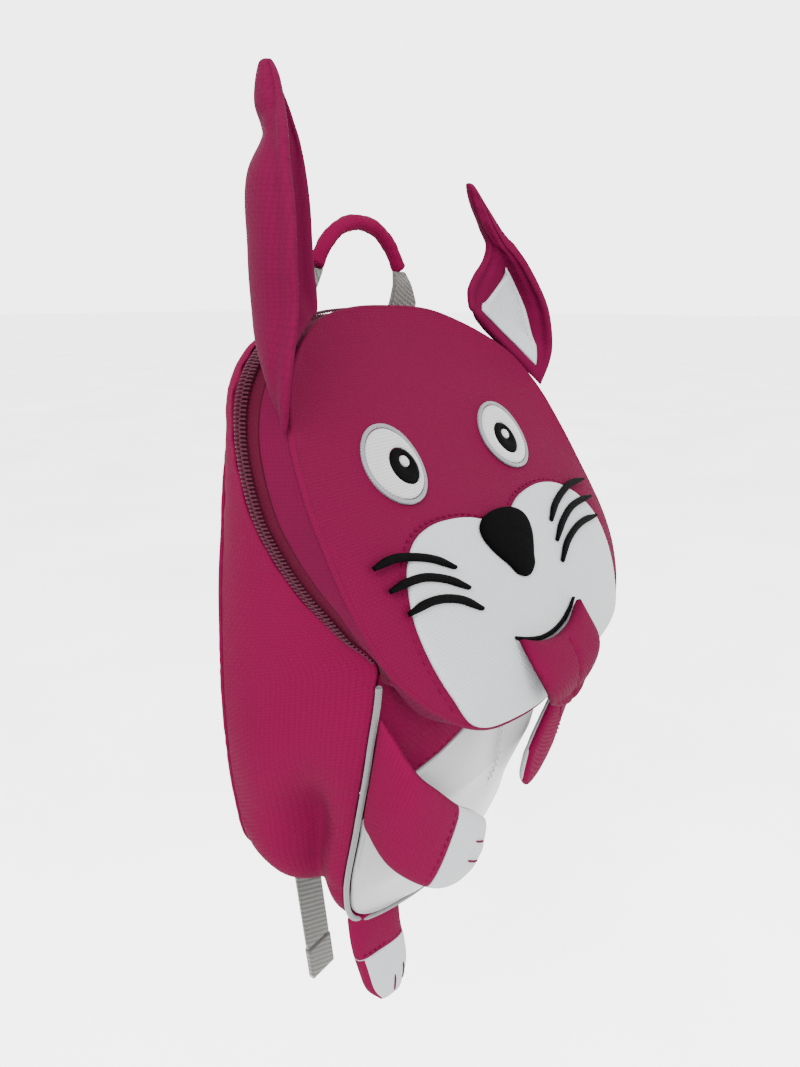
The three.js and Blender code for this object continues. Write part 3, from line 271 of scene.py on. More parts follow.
def grid_faces(n, m, wrap_i=False, wrap_j=False):
    i, j = np.meshgrid(np.arange(n if wrap_i else n - 1), np.arange(m if wrap_j else m - 1), indexing="ij")
    a, b = i * m + j, ((i + 1) % n) * m + j
    return np.stack([a, b, ((i + 1) % n) * m + (j + 1) % m, i * m + (j + 1) % m], -1).reshape(-1, 4)


def tube_faces(k, m, step=1):
    """Faces of k rings of m points, with one face over each end; step -1 turns the first one round."""
    ends = [list(range(m))[::step], list(range((k - 1) * m, k * m))]
    return grid_faces(k, m, False, True).tolist() + ends


def fix_winding(obj):
    bm = bmesh.new()
    bm.from_mesh(obj.data)
    bmesh.ops.recalc_face_normals(bm, faces=bm.faces)
    bm.to_mesh(obj.data)
    bm.free()


def make(name, verts, faces, uv, material, away_from=None, thickness=None, closed=False):
    mesh = bpy.data.meshes.new(name)
    faces = [list(f) for f in faces]
    V = np.asarray(verts, float).reshape(-1, 3)
    if away_from is not None:
        f = faces[len(faces) // 2]
        n = np.cross(V[f[1]] - V[f[0]], V[f[2]] - V[f[0]])
        if n @ (V[f[0]] - away_from) < 0:
            faces = [f[::-1] for f in faces]
    mesh.from_pydata((V * MM).tolist(), [], faces)
    if uv is not None:
        loops = np.empty(len(mesh.loops), int)
        mesh.loops.foreach_get("vertex_index", loops)
        layer = mesh.uv_layers.new(name="cloth")
        layer.data.foreach_set("uv", (np.asarray(uv, float).reshape(-1, 2)[loops] * MM).ravel())
    mesh.polygons.foreach_set("use_smooth", [True] * len(mesh.polygons))
    mesh.update()
    obj = bpy.data.objects.new(name, mesh)
    bpy.context.scene.collection.objects.link(obj)
    mesh.materials.append(material)
    if thickness:
        solid = obj.modifiers.new("cloth", "SOLIDIFY")
        solid.thickness = thickness * MM
        solid.offset = -1
    if closed:
        fix_winding(obj)
    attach(obj, "root")
    return obj


def grid_uv(P):
    """Flat cloth coordinates of a grid, in millimetres: the mean length along and across it."""
    along = np.r_[0, np.cumsum(np.linalg.norm(np.diff(P, axis=0), axis=-1).mean(1))]
    across = np.r_[0, np.cumsum(np.linalg.norm(np.diff(P, axis=1), axis=-1).mean(0))]
    return pairs(along, across)


def panel(name, P, material, wrap=False, uv=None, thickness=cloth):
    """A sheet of cloth over a grid of points; its outer face looks away from the bag's middle."""
    n, m = P.shape[:2]
    uv = grid_uv(P) if uv is None else uv
    return make(name, P, grid_faces(n, m, wrap), uv, material, bag_middle, thickness)


def fan(first, middle, m, back=False):
    """Triangles from a ring of m points, of which first is the first one, to the point middle."""
    ring = [(first + j, first + (j + 1) % m) for j in range(m)]
    return [[middle, b, a] if back else [middle, a, b] for a, b in ring]


def fan_solid(name, rings, last, uv, material):
    """A closed piece of rings of points: a fan over the first ring, and one from the last ring to the point last."""
    k, m = rings.shape[:2]
    V = np.vstack([rings.reshape(-1, 3), rings[0].mean(0), last])
    F = grid_faces(k, m, False, True).tolist() + fan(0, k * m, m) + fan((k - 1) * m, k * m + 1, m, True)
    return make(name, V, F, uv, material, closed=True)


def tube(name, path, radius, material, sides=10):
    tangent = unit(np.gradient(path, axis=0))
    side = np.cross(tangent[0], vec(0.31, 0.2, 0.93))
    a = full_turn(sides)[:, None]
    rings = []
    for p, along in zip(path, tangent):
        side = unit(side - (side @ along) * along)
        rings.append(p + radius * (np.cos(a) * side + np.sin(a) * np.cross(along, side)))
    uv = pairs(run_length(path), a[:, 0] * radius)
    return make(name, np.array(rings), tube_faces(len(path), sides, -1), uv, material)


# Half of a strap's section, as shares of half its width and of half its thickness
STRAP_HALF = [(-1, -0.5), (-0.985, -0.95), (-0.9, -1), (-0.45, -1), (0, -1),
              (0.45, -1), (0.9, -1), (0.985, -0.95), (1, -0.5)]


def strap(name, path, across, thickness, material):
    """A flat band along a path; across gives its width's direction and length at each place."""
    across = np.broadcast_to(across, (len(path), 3))
    normal = unit(np.cross(unit(np.gradient(path, axis=0)), across))
    profile = STRAP_HALF + [(-x, -y) for x, y in STRAP_HALF]
    rings = np.stack([path + across / 2 * x + normal * thickness / 2 * y for x, y in profile], 1)
    width = np.linalg.norm(across, axis=1).max()
    uv = pairs(run_length(path), [x * width / 2 for x, _ in profile])
    return make(name, rings, tube_faces(*rings.shape[:2], -1), uv, material, closed=True)


def stitches(name, path, normals, material, slot, length, gap, width, height):
    """A row of short raised stitches along a path, sunk a little into its cloth."""
    sink = 0.1
    run = run_length(path)
    total = run[-1]
    count = max(int(total / (length + gap)), 1)
    ends = tube_faces(5, 6, -1)[-2:]
    size = np.sqrt(np.clip(1 - np.linspace(-1, 1, 5) ** 2, 0.03, 1))
    V, F = [], []
    for k in range(count):
        c = (k + 0.5) * total / count
        ts = np.linspace(c - length / 2, c + length / 2, 5)
        P = np.stack([np.interp(ts, run, path[:, i]) for i in range(3)], 1)
        N = unit(np.stack([np.interp(ts, run, normals[:, i]) for i in range(3)], 1))
        S = np.cross(N, unit(np.gradient(P, axis=0)))
        base = len(V)
        for p, n, s, share in zip(P, N, S, size):
            V += [p - n * sink + s * math.cos(a) * width / 2 * share + n * math.sin(a) * height * share
                  for a in full_turn(6)]
        F += (grid_faces(5, 6, False, True) + base).tolist() + [[base + j for j in end] for end in ends]
    return done(make(name, np.array(V), F, None, material), slot)


# ---- materials


dye = 0.2


def srgb(r, g, b):
    """A cloth's colour, darker by one share so that the pale backdrop can be bright."""
    c = np.array([r, g, b]) / 255
    return tuple(dye * np.where(c <= 0.04045, c / 12.92, ((c + 0.055) / 1.055) ** 2.4)) + (1,)


def shaded(colour, share):
    return tuple(min(c * share, 1) for c in colour[:3]) + (1,)


class Nodes:
    """A new material and its nodes."""

    def __init__(self, name):
        self.mat = bpy.data.materials.new(name)
        self.mat.use_nodes = True
        self.tree = self.mat.node_tree
        self.shader = self.tree.nodes["Principled BSDF"]
        self.place = self.add("ShaderNodeTexCoord").outputs["Object"]

    def add(self, kind, *values, **inputs):
        node = self.tree.nodes.new(kind)
        for key, value in [*enumerate(values), *inputs.items()]:
            self.put(node.inputs[key], value)
        return node

    def put(self, socket, value):
        if isinstance(value, bpy.types.NodeSocket):
            self.tree.links.new(value, socket)
        else:
            socket.default_value = value

    def math(self, operation, a, b=0.0):
        node = self.add("ShaderNodeMath", a, b)
        node.operation = operation
        return node.outputs[0]

    def blend(self, share, a, b):
        node = self.tree.nodes.new("ShaderNodeMix")
        node.data_type = "RGBA"
        for socket, value in ((0, share), (6, a), (7, b)):
            self.put(node.inputs[socket], value)
        return node.outputs[2]

    def noise(self, scale, detail=2.0):
        return self.add("ShaderNodeTexNoise", Vector=self.place, Scale=scale, Detail=detail).outputs["Fac"]

    def threads(self):
        """The cloth's own flat coordinates, along and across."""
        uv = self.add("ShaderNodeUVMap")
        uv.uv_map = "cloth"
        return self.add("ShaderNodeSeparateXYZ", Vector=uv.outputs[0]).outputs

    def finish(self, colour, rough, grain, spread, height, strength, depth, specular, sheen=0.0):
        """Colour, roughness that varies by spread with the grain, bumps from height, and gloss."""
        inputs = self.shader.inputs
        self.put(inputs["Base Color"], colour)
        self.put(inputs["Roughness"], self.math("ADD", rough - spread / 2, self.math("MULTIPLY", grain, spread)))
        bump = self.add("ShaderNodeBump", Strength=strength, Distance=depth, Height=height)
        self.put(inputs["Normal"], bump.outputs[0])
        self.put(inputs["Specular IOR Level"], specular)
        self.put(inputs["Sheen Weight"], sheen)
        return self.mat


def cloth_material(name, colour, pitch=1.2, rough=0.75, sheen=0.25, weave=0.5, mottled=0.1, twill=False, specular=0.3):
    """Woven cloth: threads over and under in its own flat coordinates, painted shade in the weave's valleys, uneven dye
    and a soft sheen.
    """
    n = Nodes(name)
    shift = n.math("MULTIPLY", n.noise(260.0), 0.5)
    u, v = [n.math("ADD", n.math("MULTIPLY", flat, 1000 / pitch), shift) for flat in n.threads()[:2]]
    if twill:
        u = n.math("ADD", u, n.math("MULTIPLY", v, 0.5))
    rib_u, rib_v = [n.math("ABSOLUTE", n.math("SINE", n.math("MULTIPLY", w, math.pi))) for w in (u, v)]
    odd = n.math("FLOORED_MODULO", n.math("ADD", n.math("FLOOR", u), n.math("FLOOR", v)), 2.0)
    even = n.math("SUBTRACT", 1.0, odd)
    height = n.math("ADD", n.math("MULTIPLY", odd, rib_u), n.math("MULTIPLY", even, rib_v))
    coarse, fine = n.noise(28.0, 4.0), n.noise(1500.0)
    # The colour is darker in the weave's valleys and lighter on its tops, as painted shade and light between the
    # threads, mixed with fine random tone.
    share = n.math("ADD", n.math("MULTIPLY", height, 0.6), n.math("MULTIPLY", fine, 0.35))
    tint = n.math("ADD", 1 - mottled, n.math("MULTIPLY", coarse, 2 * mottled))
    scaled = n.add("ShaderNodeVectorMath", n.blend(share, shaded(colour, 0.78), shaded(colour, 1.08)))
    scaled.operation = "SCALE"
    n.put(scaled.inputs["Scale"], tint)
    n.shader.inputs["Sheen Roughness"].default_value = 0.4
    return n.finish(scaled.outputs[0], rough, fine, 0.12, height, weave, 0.0003, specular, sheen)


def thread_material(name, colour, rough=0.5, across=True, sheen=0.2):
    """Satin stitch or cord: fine threads lying side by side."""
    n = Nodes(name)
    noise = n.noise(900.0)
    line = n.math("MULTIPLY", n.threads()[0 if across else 1], 2600 * 6.283 / 3)
    line = n.math("SINE", n.math("ADD", line, n.math("MULTIPLY", noise, 1.6)))
    height = n.math("ADD", 0.5, n.math("MULTIPLY", line, 0.5))
    # Darker between the stitched threads: painted shade, mixed with random tone from the noise.
    share = n.math("MULTIPLY", n.math("ADD", height, noise), 0.6)
    colour = n.blend(share, shaded(colour, 0.7), colour)
    return n.finish(colour, rough, noise, 0.2, height, 0.45, 0.00025, 0.25 if sheen else 0.02, sheen)


def plain_material(name, colour, rough=0.5, grain=700.0, strength=0.15):
    n = Nodes(name)
    noise = n.noise(grain, 3.0)
    return n.finish(n.blend(noise, shaded(colour, 0.8), colour), rough, noise, 0.16, noise, strength, 0.0002, 0.08)


pink = srgb(136, 0, 66)
pink_cloth = cloth_material("pink_oxford", pink, 1.25, 0.88, 0.0, 0.35, 0.06, specular=0.03)
# A darker copy of the pink cloth, as painted shade on the ears and on the head's gusset.
pink_painted_shade = cloth_material("pink_painted_shade_cloth", srgb(118, 0, 60), 1.3, 0.85, 0.0, 0.2, 0.06, specular=0.04)
pink_soft = cloth_material("pink_face_cloth", srgb(124, 0, 60), 1.1, 0.85, 0.0, 0.4, 0.05, specular=0.04)
white_cloth = cloth_material("white_cloth", srgb(234, 237, 240), 1.1, 0.85, 0.1, 0.45, 0.03, specular=0.15)
belly_cloth = cloth_material("grey_white_satin", srgb(206, 206, 209), 0.6, 0.4, 0.1, 0.1, 0.03, True, 0.3)
tape_cloth = cloth_material("zipper_tape_cloth", srgb(96, 0, 42), 0.8, 0.8, 0.0, 0.3, 0.05, True, 0.05)
coil_plastic = plain_material("pink_nylon_coil", srgb(86, 0, 42), 0.5)
pull_plastic = plain_material("pink_zipper_slider", srgb(120, 0, 60), 0.45)
pink_thread = thread_material("pink_thread", srgb(126, 0, 62), 0.7, sheen=0.0)
satin_piping = thread_material("silver_satin_piping", srgb(134, 130, 134), 0.6, sheen=0.1)
silver_satin = thread_material("silver_satin_stitch", srgb(154, 154, 162), 0.3, sheen=0.1)
white_satin = thread_material("white_eye_satin", srgb(226, 224, 224), 0.45, across=False)
black_satin = thread_material("black_satin_stitch", srgb(1, 1, 1), 0.7, sheen=0.0)
black_cloth = cloth_material("black_nose_cloth", srgb(1, 1, 1), 0.6, 0.9, 0.0, 0.2, 0.1, specular=0.02)
grey_web = cloth_material("grey_webbing", srgb(112, 106, 98), 1.3, 0.8, 0.2, 0.9, 0.06, True)
dark_web = cloth_material("grey_strap_webbing", srgb(88, 85, 77), 1.3, 0.8, 0.2, 0.9, 0.06, True)
lock_plastic = plain_material("grey_lock_plastic", srgb(70, 68, 62), 0.42)


def done(obj, slot, *nodes, fill=None):
    if nodes:
        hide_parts(*nodes)
    return obj


def outward_normals(P, inside, wrap=False):
    along = (np.roll(P, -1, 0) - np.roll(P, 1, 0)) if wrap else np.gradient(P, axis=0)
    n = unit(np.cross(along, np.gradient(P, axis=1)))
    sign = np.sign(np.sum(n * (P - inside), -1, keepdims=True))
    return n * np.where(sign == 0, 1, sign)


def seam_puckers(run, distance, wavelength, reach, seed):
    """Small gathers beside a seam; run is the length along it and distance the way from it, in mm."""
    r = np.random.default_rng(seed)
    wave = sum(np.sin(run * 2 * math.pi / (wavelength * k) + r.uniform(0, 6)) for k in (1, 1.37, 2.1)) / 2.2
    return wave * np.exp(-distance / reach)


# ---- gusset and back


def piping_part(row):
    return smoothstep(fold_row(row, LAST_BODY), ZIP_END, ZIP_END + 0.25)


piping_diameter = 2.6
dip_at, dip_reach = 0.62, 0.2  # where the gusset sinks in, as shares of its width


def gusset_point(row, v):
    back, front = back_edge(row), front_edge(row)
    inset = seam_gap / 2 + (piping_diameter / 2 + seam_gap / 2) * piping_part(row)
    front = front + (back - front) * (inset / np.linalg.norm(front - back, axis=-1))[..., None]
    along = back_edge(row + 0.3) - back_edge(row - 0.3)
    out = unit(np.stack([-along[..., 2], 0 * along[..., 0], along[..., 0]], -1))
    zero = 0 * back[..., 0]
    flip = np.sum(out * (back - np.stack([zero, back[..., 1], zero + bag_middle[2]], -1)), -1) < 0
    out = np.where(flip[..., None], -out, out)
    dip = np.exp(-(((v - dip_at) / dip_reach) ** 2)) * 4 * v * (1 - v)
    fold = fold_row(row, LAST_BODY)
    rise = side_bulge * bulge_share(fold) * np.sin(math.pi * v**0.8) - bottom_dent * dent_share(fold) * dip
    back = back - vec(0, seam_gap, 0)
    return back + (front - back) * v[..., None] + out * rise[..., None]


rows = np.linspace(0, 2 * LAST_BODY, 421)[:-1]
shares = np.linspace(0, 1, 61)
R, Vv = np.meshgrid(rows, shares, indexing="ij")
G = gusset_point(R, Vv)
uv = grid_uv(G)
n = outward_normals(G, bag_middle, True)
fold = fold_row(R, LAST_BODY)
width = np.linalg.norm(G[:, -1] - G[:, 0], axis=-1)[:, None]
lower = smoothstep(fold, 8, 11)
inner = np.sin(math.pi * Vv) ** 0.7
soft = ripple(G * vec(1, 1, 0.6), 46, 3) * (0.5 + 1.1 * lower) * inner
creases = -np.maximum(0, ripple(G * vec(0.4, 1, 0.7), 30, 5)) ** 2 * 1.3 * lower * inner
run = uv[..., 0]
gathers = seam_puckers(run, Vv * width, 9, 5, 1) * 0.35 + seam_puckers(run, (1 - Vv) * width, 8, 6, 2) * 0.45
G = G + n * (soft + creases + gathers * np.clip(inner * 3, 0, 1))[..., None]
done(panel("gusset_cloth", G, pink_cloth, wrap=True, uv=uv, thickness=cloth * 0.8), "pink_cloth", "side_gusset")

back_crown, back_rim, back_outline = 3.0, 2.0, 640
back_face = hang_to_back + back_rim + back_crown
rows = np.linspace(0, 2 * LAST_BODY, 241)[:-1]
outline = back_edge(rows)[:, [0, 2]]
centre = vec(0, bag_middle[2])
levels = np.r_[np.linspace(0.03, 0.9, 34), 0.93, 0.955, 0.975, 0.99, 1]


def back_rings(levels, y_of):
    P = centre + (outline - centre)[None] * levels[:, None, None]
    return np.stack([P[..., 0], y_of(P, levels[:, None]), P[..., 1]], -1)


def back_y(P, level):
    crown = np.sqrt(1 - np.clip(2 * level - 1, 0, 1) ** 3)
    flat = np.stack([P[..., 0], 0 * P[..., 0], P[..., 1]], -1)
    soft = ripple(flat, 60, 11) * 0.35 * np.minimum(1, 4 * (1 - level))
    around = np.linspace(0, back_outline, P.shape[1])[None]
    gathers = np.abs(seam_puckers(around, (1 - level) * 90, 8, 6, 4))
    return hang_to_back + back_rim + back_crown * crown - 0.3 + soft - 0.3 * gathers


rear = back_rings(levels, back_y)
front = back_rings(levels[::-3], lambda P, level: hang_to_back + 0 * P[..., 0] + 0.1)
P = np.concatenate([rear, front])
uv = np.vstack([P.reshape(-1, 3), rear[0].mean(0), front[-1].mean(0)])[:, [0, 2]]
done(fan_solid("back_panel_padding", P, front[-1].mean(0), uv, pink_cloth), "pink_cloth", "back_panel", fill=0.8)

# ---- zipper


def tape_edges(row):
    back, seam = front_edge(row), seam_edge(row, tuck)
    reach = np.linalg.norm(seam - back, axis=-1)
    width = np.minimum(tape_back + tape_front, tape_narrow * reach)
    return back, back + (seam - back) * (width / reach)[..., None], width


def tape_line(row, v):
    """Points across the tape: v runs from 0 at the gusset to 1 at the head."""
    back, front, _ = tape_edges(row)
    inward = unit((bag_middle - back) * vec(1, 0, 1))
    return back[..., None, :] + (front - back)[..., None, :] * v[..., :, None] + inward[..., None, :] * tape_recess


tape_end, coil_end = 9.2, 8.75  # rows
rows = np.linspace(-tape_end, tape_end, 440)
width = tape_edges(rows)[2]
gap = (seam_gap / width)[:, None]
tape = tape_line(rows, gap + (1 - 2 * gap) * np.linspace(0, 1, 13)[None])
n = outward_normals(tape, bag_middle)
tape = tape + n * (0.12 * ripple(tape, 22, 21))[..., None]
done(panel("zipper_tape_cloth", tape, tape_cloth, thickness=1.0), "pink_cloth", "zipper_tape")

coil_share, coil_width, coil_height, tooth_pitch = tape_back / (tape_back + tape_front), 5.4, 1.9, 1.35
rows = np.linspace(-coil_end, coil_end, 2000)
half = coil_width / 2 / (tape_back + tape_front)
middle, side_a, side_b = [tape_line(rows, np.full((2000, 1), coil_share + h))[:, 0] for h in (0, -half, half)]
run = run_length(middle)


def along_run(path, s):
    return np.stack([np.interp(s, run, path[:, k]) for k in range(3)], -1)


# Middle of a tooth's section, out and up as shares, and its radius in millimetres
TOOTH = ((-0.14, 0.75, 0.2), (-0.05, 0.8, 0.5), (0.35, 1, 0.46), (0.75, 0.92, 0.46), (0.95, 0.7, 0.44), (1, 0.45, 0.2))
V, F = [], []
for s in np.linspace(0.5, run[-1] - 0.5, int(run[-1] / tooth_pitch)):
    for edge, start in ((side_a, 0.0), (side_b, tooth_pitch / 2)):
        c = along_run(middle, s + start)
        e = along_run(edge, s + start)
        t = unit(along_run(middle, s + start + 0.3) - along_run(middle, s + start - 0.3))
        across = unit(e - c)
        up = np.cross(t, across)
        up = up * np.sign(up @ (c - bag_middle))
        reach = np.linalg.norm(e - c) * 0.97
        base = len(V)
        for w, h, r in TOOTH:
            q = c + across * reach * w + up * (seam_gap + h * (coil_height - 0.9) + 0.25)
            V += [q + r * (t * math.cos(a) + up * math.sin(a)) for a in full_turn(6)]
        F += (grid_faces(6, 6, False, True) + base).tolist()
        F += [[base + j for j in range(6)], [base + 30 + j for j in range(6)][::-1]]
done(make("zipper_coil_teeth", np.array(V), F, None, coil_plastic), "coil", "zipper_coil")

# Slider and pull
slider_row = 8.2
a = tape_line(slider_row + vec(-0.1, 0, 0.1), coil_share + np.full((3, 2), vec(-0.1, 0.1)))
slide_at = a[1].mean(0)
slide_t = unit(a[2].mean(0) - a[0].mean(0))
slide_n = unit(np.cross(slide_t, a[1, 1] - a[1, 0]))
slide_n = slide_n * np.sign(slide_n @ (slide_at - bag_middle))
slide_w = np.cross(slide_n, slide_t)


def rounded_slab(name, centre, axis_l, axis_w, axis_n, length, width, height, material, taper=1.0, corner=0.35):
    """A slab with rounded edges; its far end's width is taper times the near one's."""
    V = []
    for h, grow in ((-0.5, 0.86), (-0.42, 0.96), (-0.25, 1), (0.25, 1), (0.42, 0.96), (0.5, 0.86)):
        for q in full_turn(48):
            c, s = math.cos(q), math.sin(q)
            l = math.copysign(abs(c) ** corner, c) * length / 2 * (1 - (1 - grow) * width / length)
            w = math.copysign(abs(s) ** corner, s) * width / 2 * grow * (1 + (taper - 1) * (l / length + 0.5))
            V.append(centre + axis_l * l + axis_w * w + axis_n * h * height)
    return make(name, np.array(V), tube_faces(6, 48, -1), None, material)


slider_height = 3.2
foot = seam_gap + coil_height + seam_gap
slider = rounded_slab("zipper_slider_body", slide_at + slide_n * (foot + slider_height / 2), slide_t, slide_w, slide_n,
                      12, 8, slider_height, pull_plastic, 0.72)
done(slider, "coil", "zipper_slider")
low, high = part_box("zipper_pull")
pull_low, pull_high = np.array(low) / MM, np.array(high) / MM
pull_centre = (pull_low + pull_high) / 2
out = unit((slide_at - bag_middle) * vec(1, 1, 0))
pull_w = np.cross(out, vec(0, 0, 1))
pull = rounded_slab("zipper_pull_tab", pull_centre, vec(0, 0, -1), pull_w, out, pull_high[2] - pull_low[2], 6.2, 1.5,
                    pull_plastic, 0.8, 0.5)
done(pull, "coil", "zipper_pull")

# ---- head gusset

BELLY = []  # edge x, edge y, middle y, z
for row, middle in enumerate(BELLY_MID, ZIP_END):
    x, y, z = front_edge(np.array(float(row)))
    BELLY.append((x, y, float(bag_point(0, middle, 0)[1]), z))
BELLY = np.array(BELLY)


def belly_at(x, z):
    """Y of the belly's outer face."""
    x, z = np.broadcast_arrays(np.asarray(x, float), z)
    below = np.clip(np.sum(BELLY[:, 3][None] >= z.reshape(-1, 1), axis=1), 1, 4).reshape(z.shape)
    a, b = BELLY[below - 1], BELLY[below]
    t = np.clip((a[..., 3] - z) / (a[..., 3] - b[..., 3]), -0.2, 1.2)
    mix = a + (b - a) * t[..., None]
    out = np.clip(np.abs(x) / mix[..., 0], 0, 1)
    return mix[..., 1] - (mix[..., 1] - mix[..., 2]) * (1 - out**2.6)


neck = [(x * half_width, bag_level(z)) for x, z in NECK]
neck = np.array([(x, float(belly_at(x, z)), z) for x, z in neck])
zip_end = tape_edges(np.array(float(ZIP_END)))[1]
flip_x = vec(-1, 1, 1)
neck_line = np.vstack([zip_end, neck, neck[:-1][::-1] * flip_x, zip_end * flip_x])
neck_curve = smooth_line(neck_line)


def head_back(row):
    forward = np.where(row < 0, row + 2 * LAST_FACE, row)
    chin = neck_curve((forward - ZIP_END) / (2 * (LAST_FACE - ZIP_END)) * (len(neck_line) - 1))
    front = tape_edges(row)[1]
    top = front + (seam_edge(row, tuck) - front) * 0.02
    return np.where((fold_row(row, LAST_FACE) > ZIP_END)[..., None], chin, top)


chin_bulge, chin_from, chin_full = 3.4, 9.2, 10.4  # millimetres, and the rows where the bulge starts and is full
rows = np.r_[np.linspace(-ZIP_END, ZIP_END, 300), np.linspace(ZIP_END, 2 * LAST_FACE - ZIP_END, 122)[1:-1]]
start, end = head_back(rows), seam_edge(rows, tuck)
start = start + unit(end - start) * seam_gap
v = np.linspace(0, 1, 17)
H = start[:, None] + (end - start)[:, None] * v[None, :, None]
uv = grid_uv(H)
n = outward_normals(H, bag_middle, True)
width = np.linalg.norm(end - start, axis=-1)[:, None]
inner = np.sin(math.pi * v)[None]
gathers = seam_puckers(uv[..., 0], (1 - v)[None] * width, 7, 4, 6)
H = H + n * (0.35 * ripple(H, 24, 31) * inner + 0.3 * gathers * inner)[..., None]
chin = smoothstep(fold_row(rows, LAST_FACE), chin_from, chin_full)[:, None]
H = H + n * (chin_bulge * chin * inner)[..., None]
# The head's gusset is in the darker pink, which paints shade on it.
done(panel("head_gusset_cloth", H, pink_painted_shade, wrap=True, uv=uv, thickness=cloth * 0.8), "pink_cloth", "head_gusset")

# ---- face


def plan_rings(outline, centre, levels):
    return centre + (outline - centre)[None] * np.asarray(levels)[:, None, None]


def plane_ripple(x, s, wavelength, seed):
    return ripple(np.stack([x, s, 0 * x], -1), wavelength, seed)


face_cloth = 1.8
rows = np.linspace(0, 2 * LAST_FACE, 361)[:-1]
outline = seam_plan(rows)
face_centre = vec(0, face_length / 2)
levels = np.r_[np.linspace(0.004, 0.9, 48), 0.92, 0.94, 0.955, 0.97, 0.98, 0.99, 0.996, 1]
plan = plan_rings(outline, face_centre, levels)
share = levels[:, None]
around = run_length(outline)[None]
reach = np.linalg.norm(outline - face_centre, axis=1)[None] * (1 - share)
lift = 0.5 * plane_ripple(*xy(plan), 55, 41)
lift = lift * np.minimum(1, 6 * (1 - share)) * (1 - smoothstep(plan[..., 1], 75, 95))
lift = lift + 0.35 * seam_puckers(around, reach, 9, 6, 9) * np.minimum(1, reach / 3)
rings = face_point(*xy(plan), lift)
k, m = rings.shape[:2]
V, uv = np.vstack([rings.reshape(-1, 3), rings[0].mean(0)]), np.vstack([plan.reshape(-1, 2), plan[0].mean(0)])
faces = grid_faces(k, m, False, True).tolist() + fan(0, k * m, m)
done(make("face_cloth", V, faces, uv, pink_soft, bag_middle, face_cloth), "pink_cloth", "face_panel", fill=0.7)

done(tube("face_seam_roll", seam_edge(np.linspace(0, 2 * LAST_FACE, 520), 0.9), 1.0, pink_soft, 12), "pink_cloth")

# How far pieces on the face stand off it: a patch, what is stitched on a patch, and where a patch's edge is sewn down
patch_gap, patch_thickness, sewn = 0.5, 1.0, 0.1
top_lift = 2 * patch_gap + patch_thickness


def patch(name, outline, centre, place, thickness, material, base=0.0, edge=0.8, dome=0.0, count=12, ripples=None):
    """A sewn-on patch over a plan outline, with a rounded edge; place turns (x, y, lift) into a point."""
    outline, centre = np.asarray(outline, float), np.asarray(centre, float)
    radius = np.linalg.norm(outline - centre, axis=1).mean()
    e = min(edge / radius, 0.4)
    levels = np.r_[np.linspace(0.03, 1 - e, count), 1 - 0.6 * e, 1 - 0.3 * e, 1 - 0.1 * e, 1, 1]
    height = np.r_[np.ones(count), 0.93, 0.78, 0.55, 0.3, 0]
    plan = plan_rings(outline, centre, levels)
    lift = base + (height * thickness + dome * (1 - levels**3) * (height > 0))[:, None] + np.zeros(plan.shape[:2])
    if ripples is not None:
        lift = lift + ripples(*xy(plan)) * (height > 0.95)[:, None]
    rings = place(*xy(plan), lift)
    flat = np.vstack([plan.reshape(-1, 2), centre, centre])
    return fan_solid(name, rings, place(centre[0], centre[1], base), flat, material)


muzzle_middle = vec(0, face_length * 0.756)
muzzle = patch("muzzle_cloth", muzzle_plan(np.linspace(0, 2 * LAST_FACE, 301)[:-1]), muzzle_middle, face_point,
               patch_thickness + patch_gap - sewn, white_cloth, sewn, 1.2, 0, 34)
done(muzzle, "white_cloth", "muzzle")

# Pink topstitch just outside the muzzle's upper edge, open under the nose and where it meets the face's seam
topstitch_away, nose_opening, seam_share_max = 2.2, 6, 0.985
line = muzzle_plan(np.linspace(-10.6, 10.6, 400))
line = line + unit(line - muzzle_middle) * topstitch_away
line = line[(rim_share(*xy(line))[0] < seam_share_max) & (np.abs(line[:, 0]) > nose_opening)]
P = face_point(*xy(line), 0.1)
stitches("muzzle_topstitch", P, face_normal_at(*xy(line)), pink_thread, "pink_cloth", 2.2, 1.3, 0.7, 0.4)


def circle(x, s, diameter, count=72):
    a = full_turn(count)
    return np.stack([x + np.sin(a) * diameter / 2, s - np.cos(a) * diameter / 2], -1)


def ring_patch(name, outside, inside, material, dome=0.25, radial=True):
    """A flat ring on the face between two outlines, slightly raised in its middle."""
    w = vec(0, 0, 0.08, 0.25, 0.5, 0.75, 0.92, 1, 1)
    h = vec(0, 0.6, 0.9, 1, 1 + dome, 1, 0.9, 0.6, 0)
    plan = outside[None] + (inside - outside)[None] * w[:, None, None]
    lift = (sewn + h * (patch_thickness + patch_gap - sewn) / (1 + dome))[:, None] + np.zeros(plan.shape[:2])
    uv = np.stack(np.broadcast_arrays(run_length(outside)[None], w[:, None] * 5), -1) if radial else plan
    rings = face_point(*xy(plan), lift)
    return make(name, rings, grid_faces(*plan.shape[:2], True, True), uv, material, closed=True)


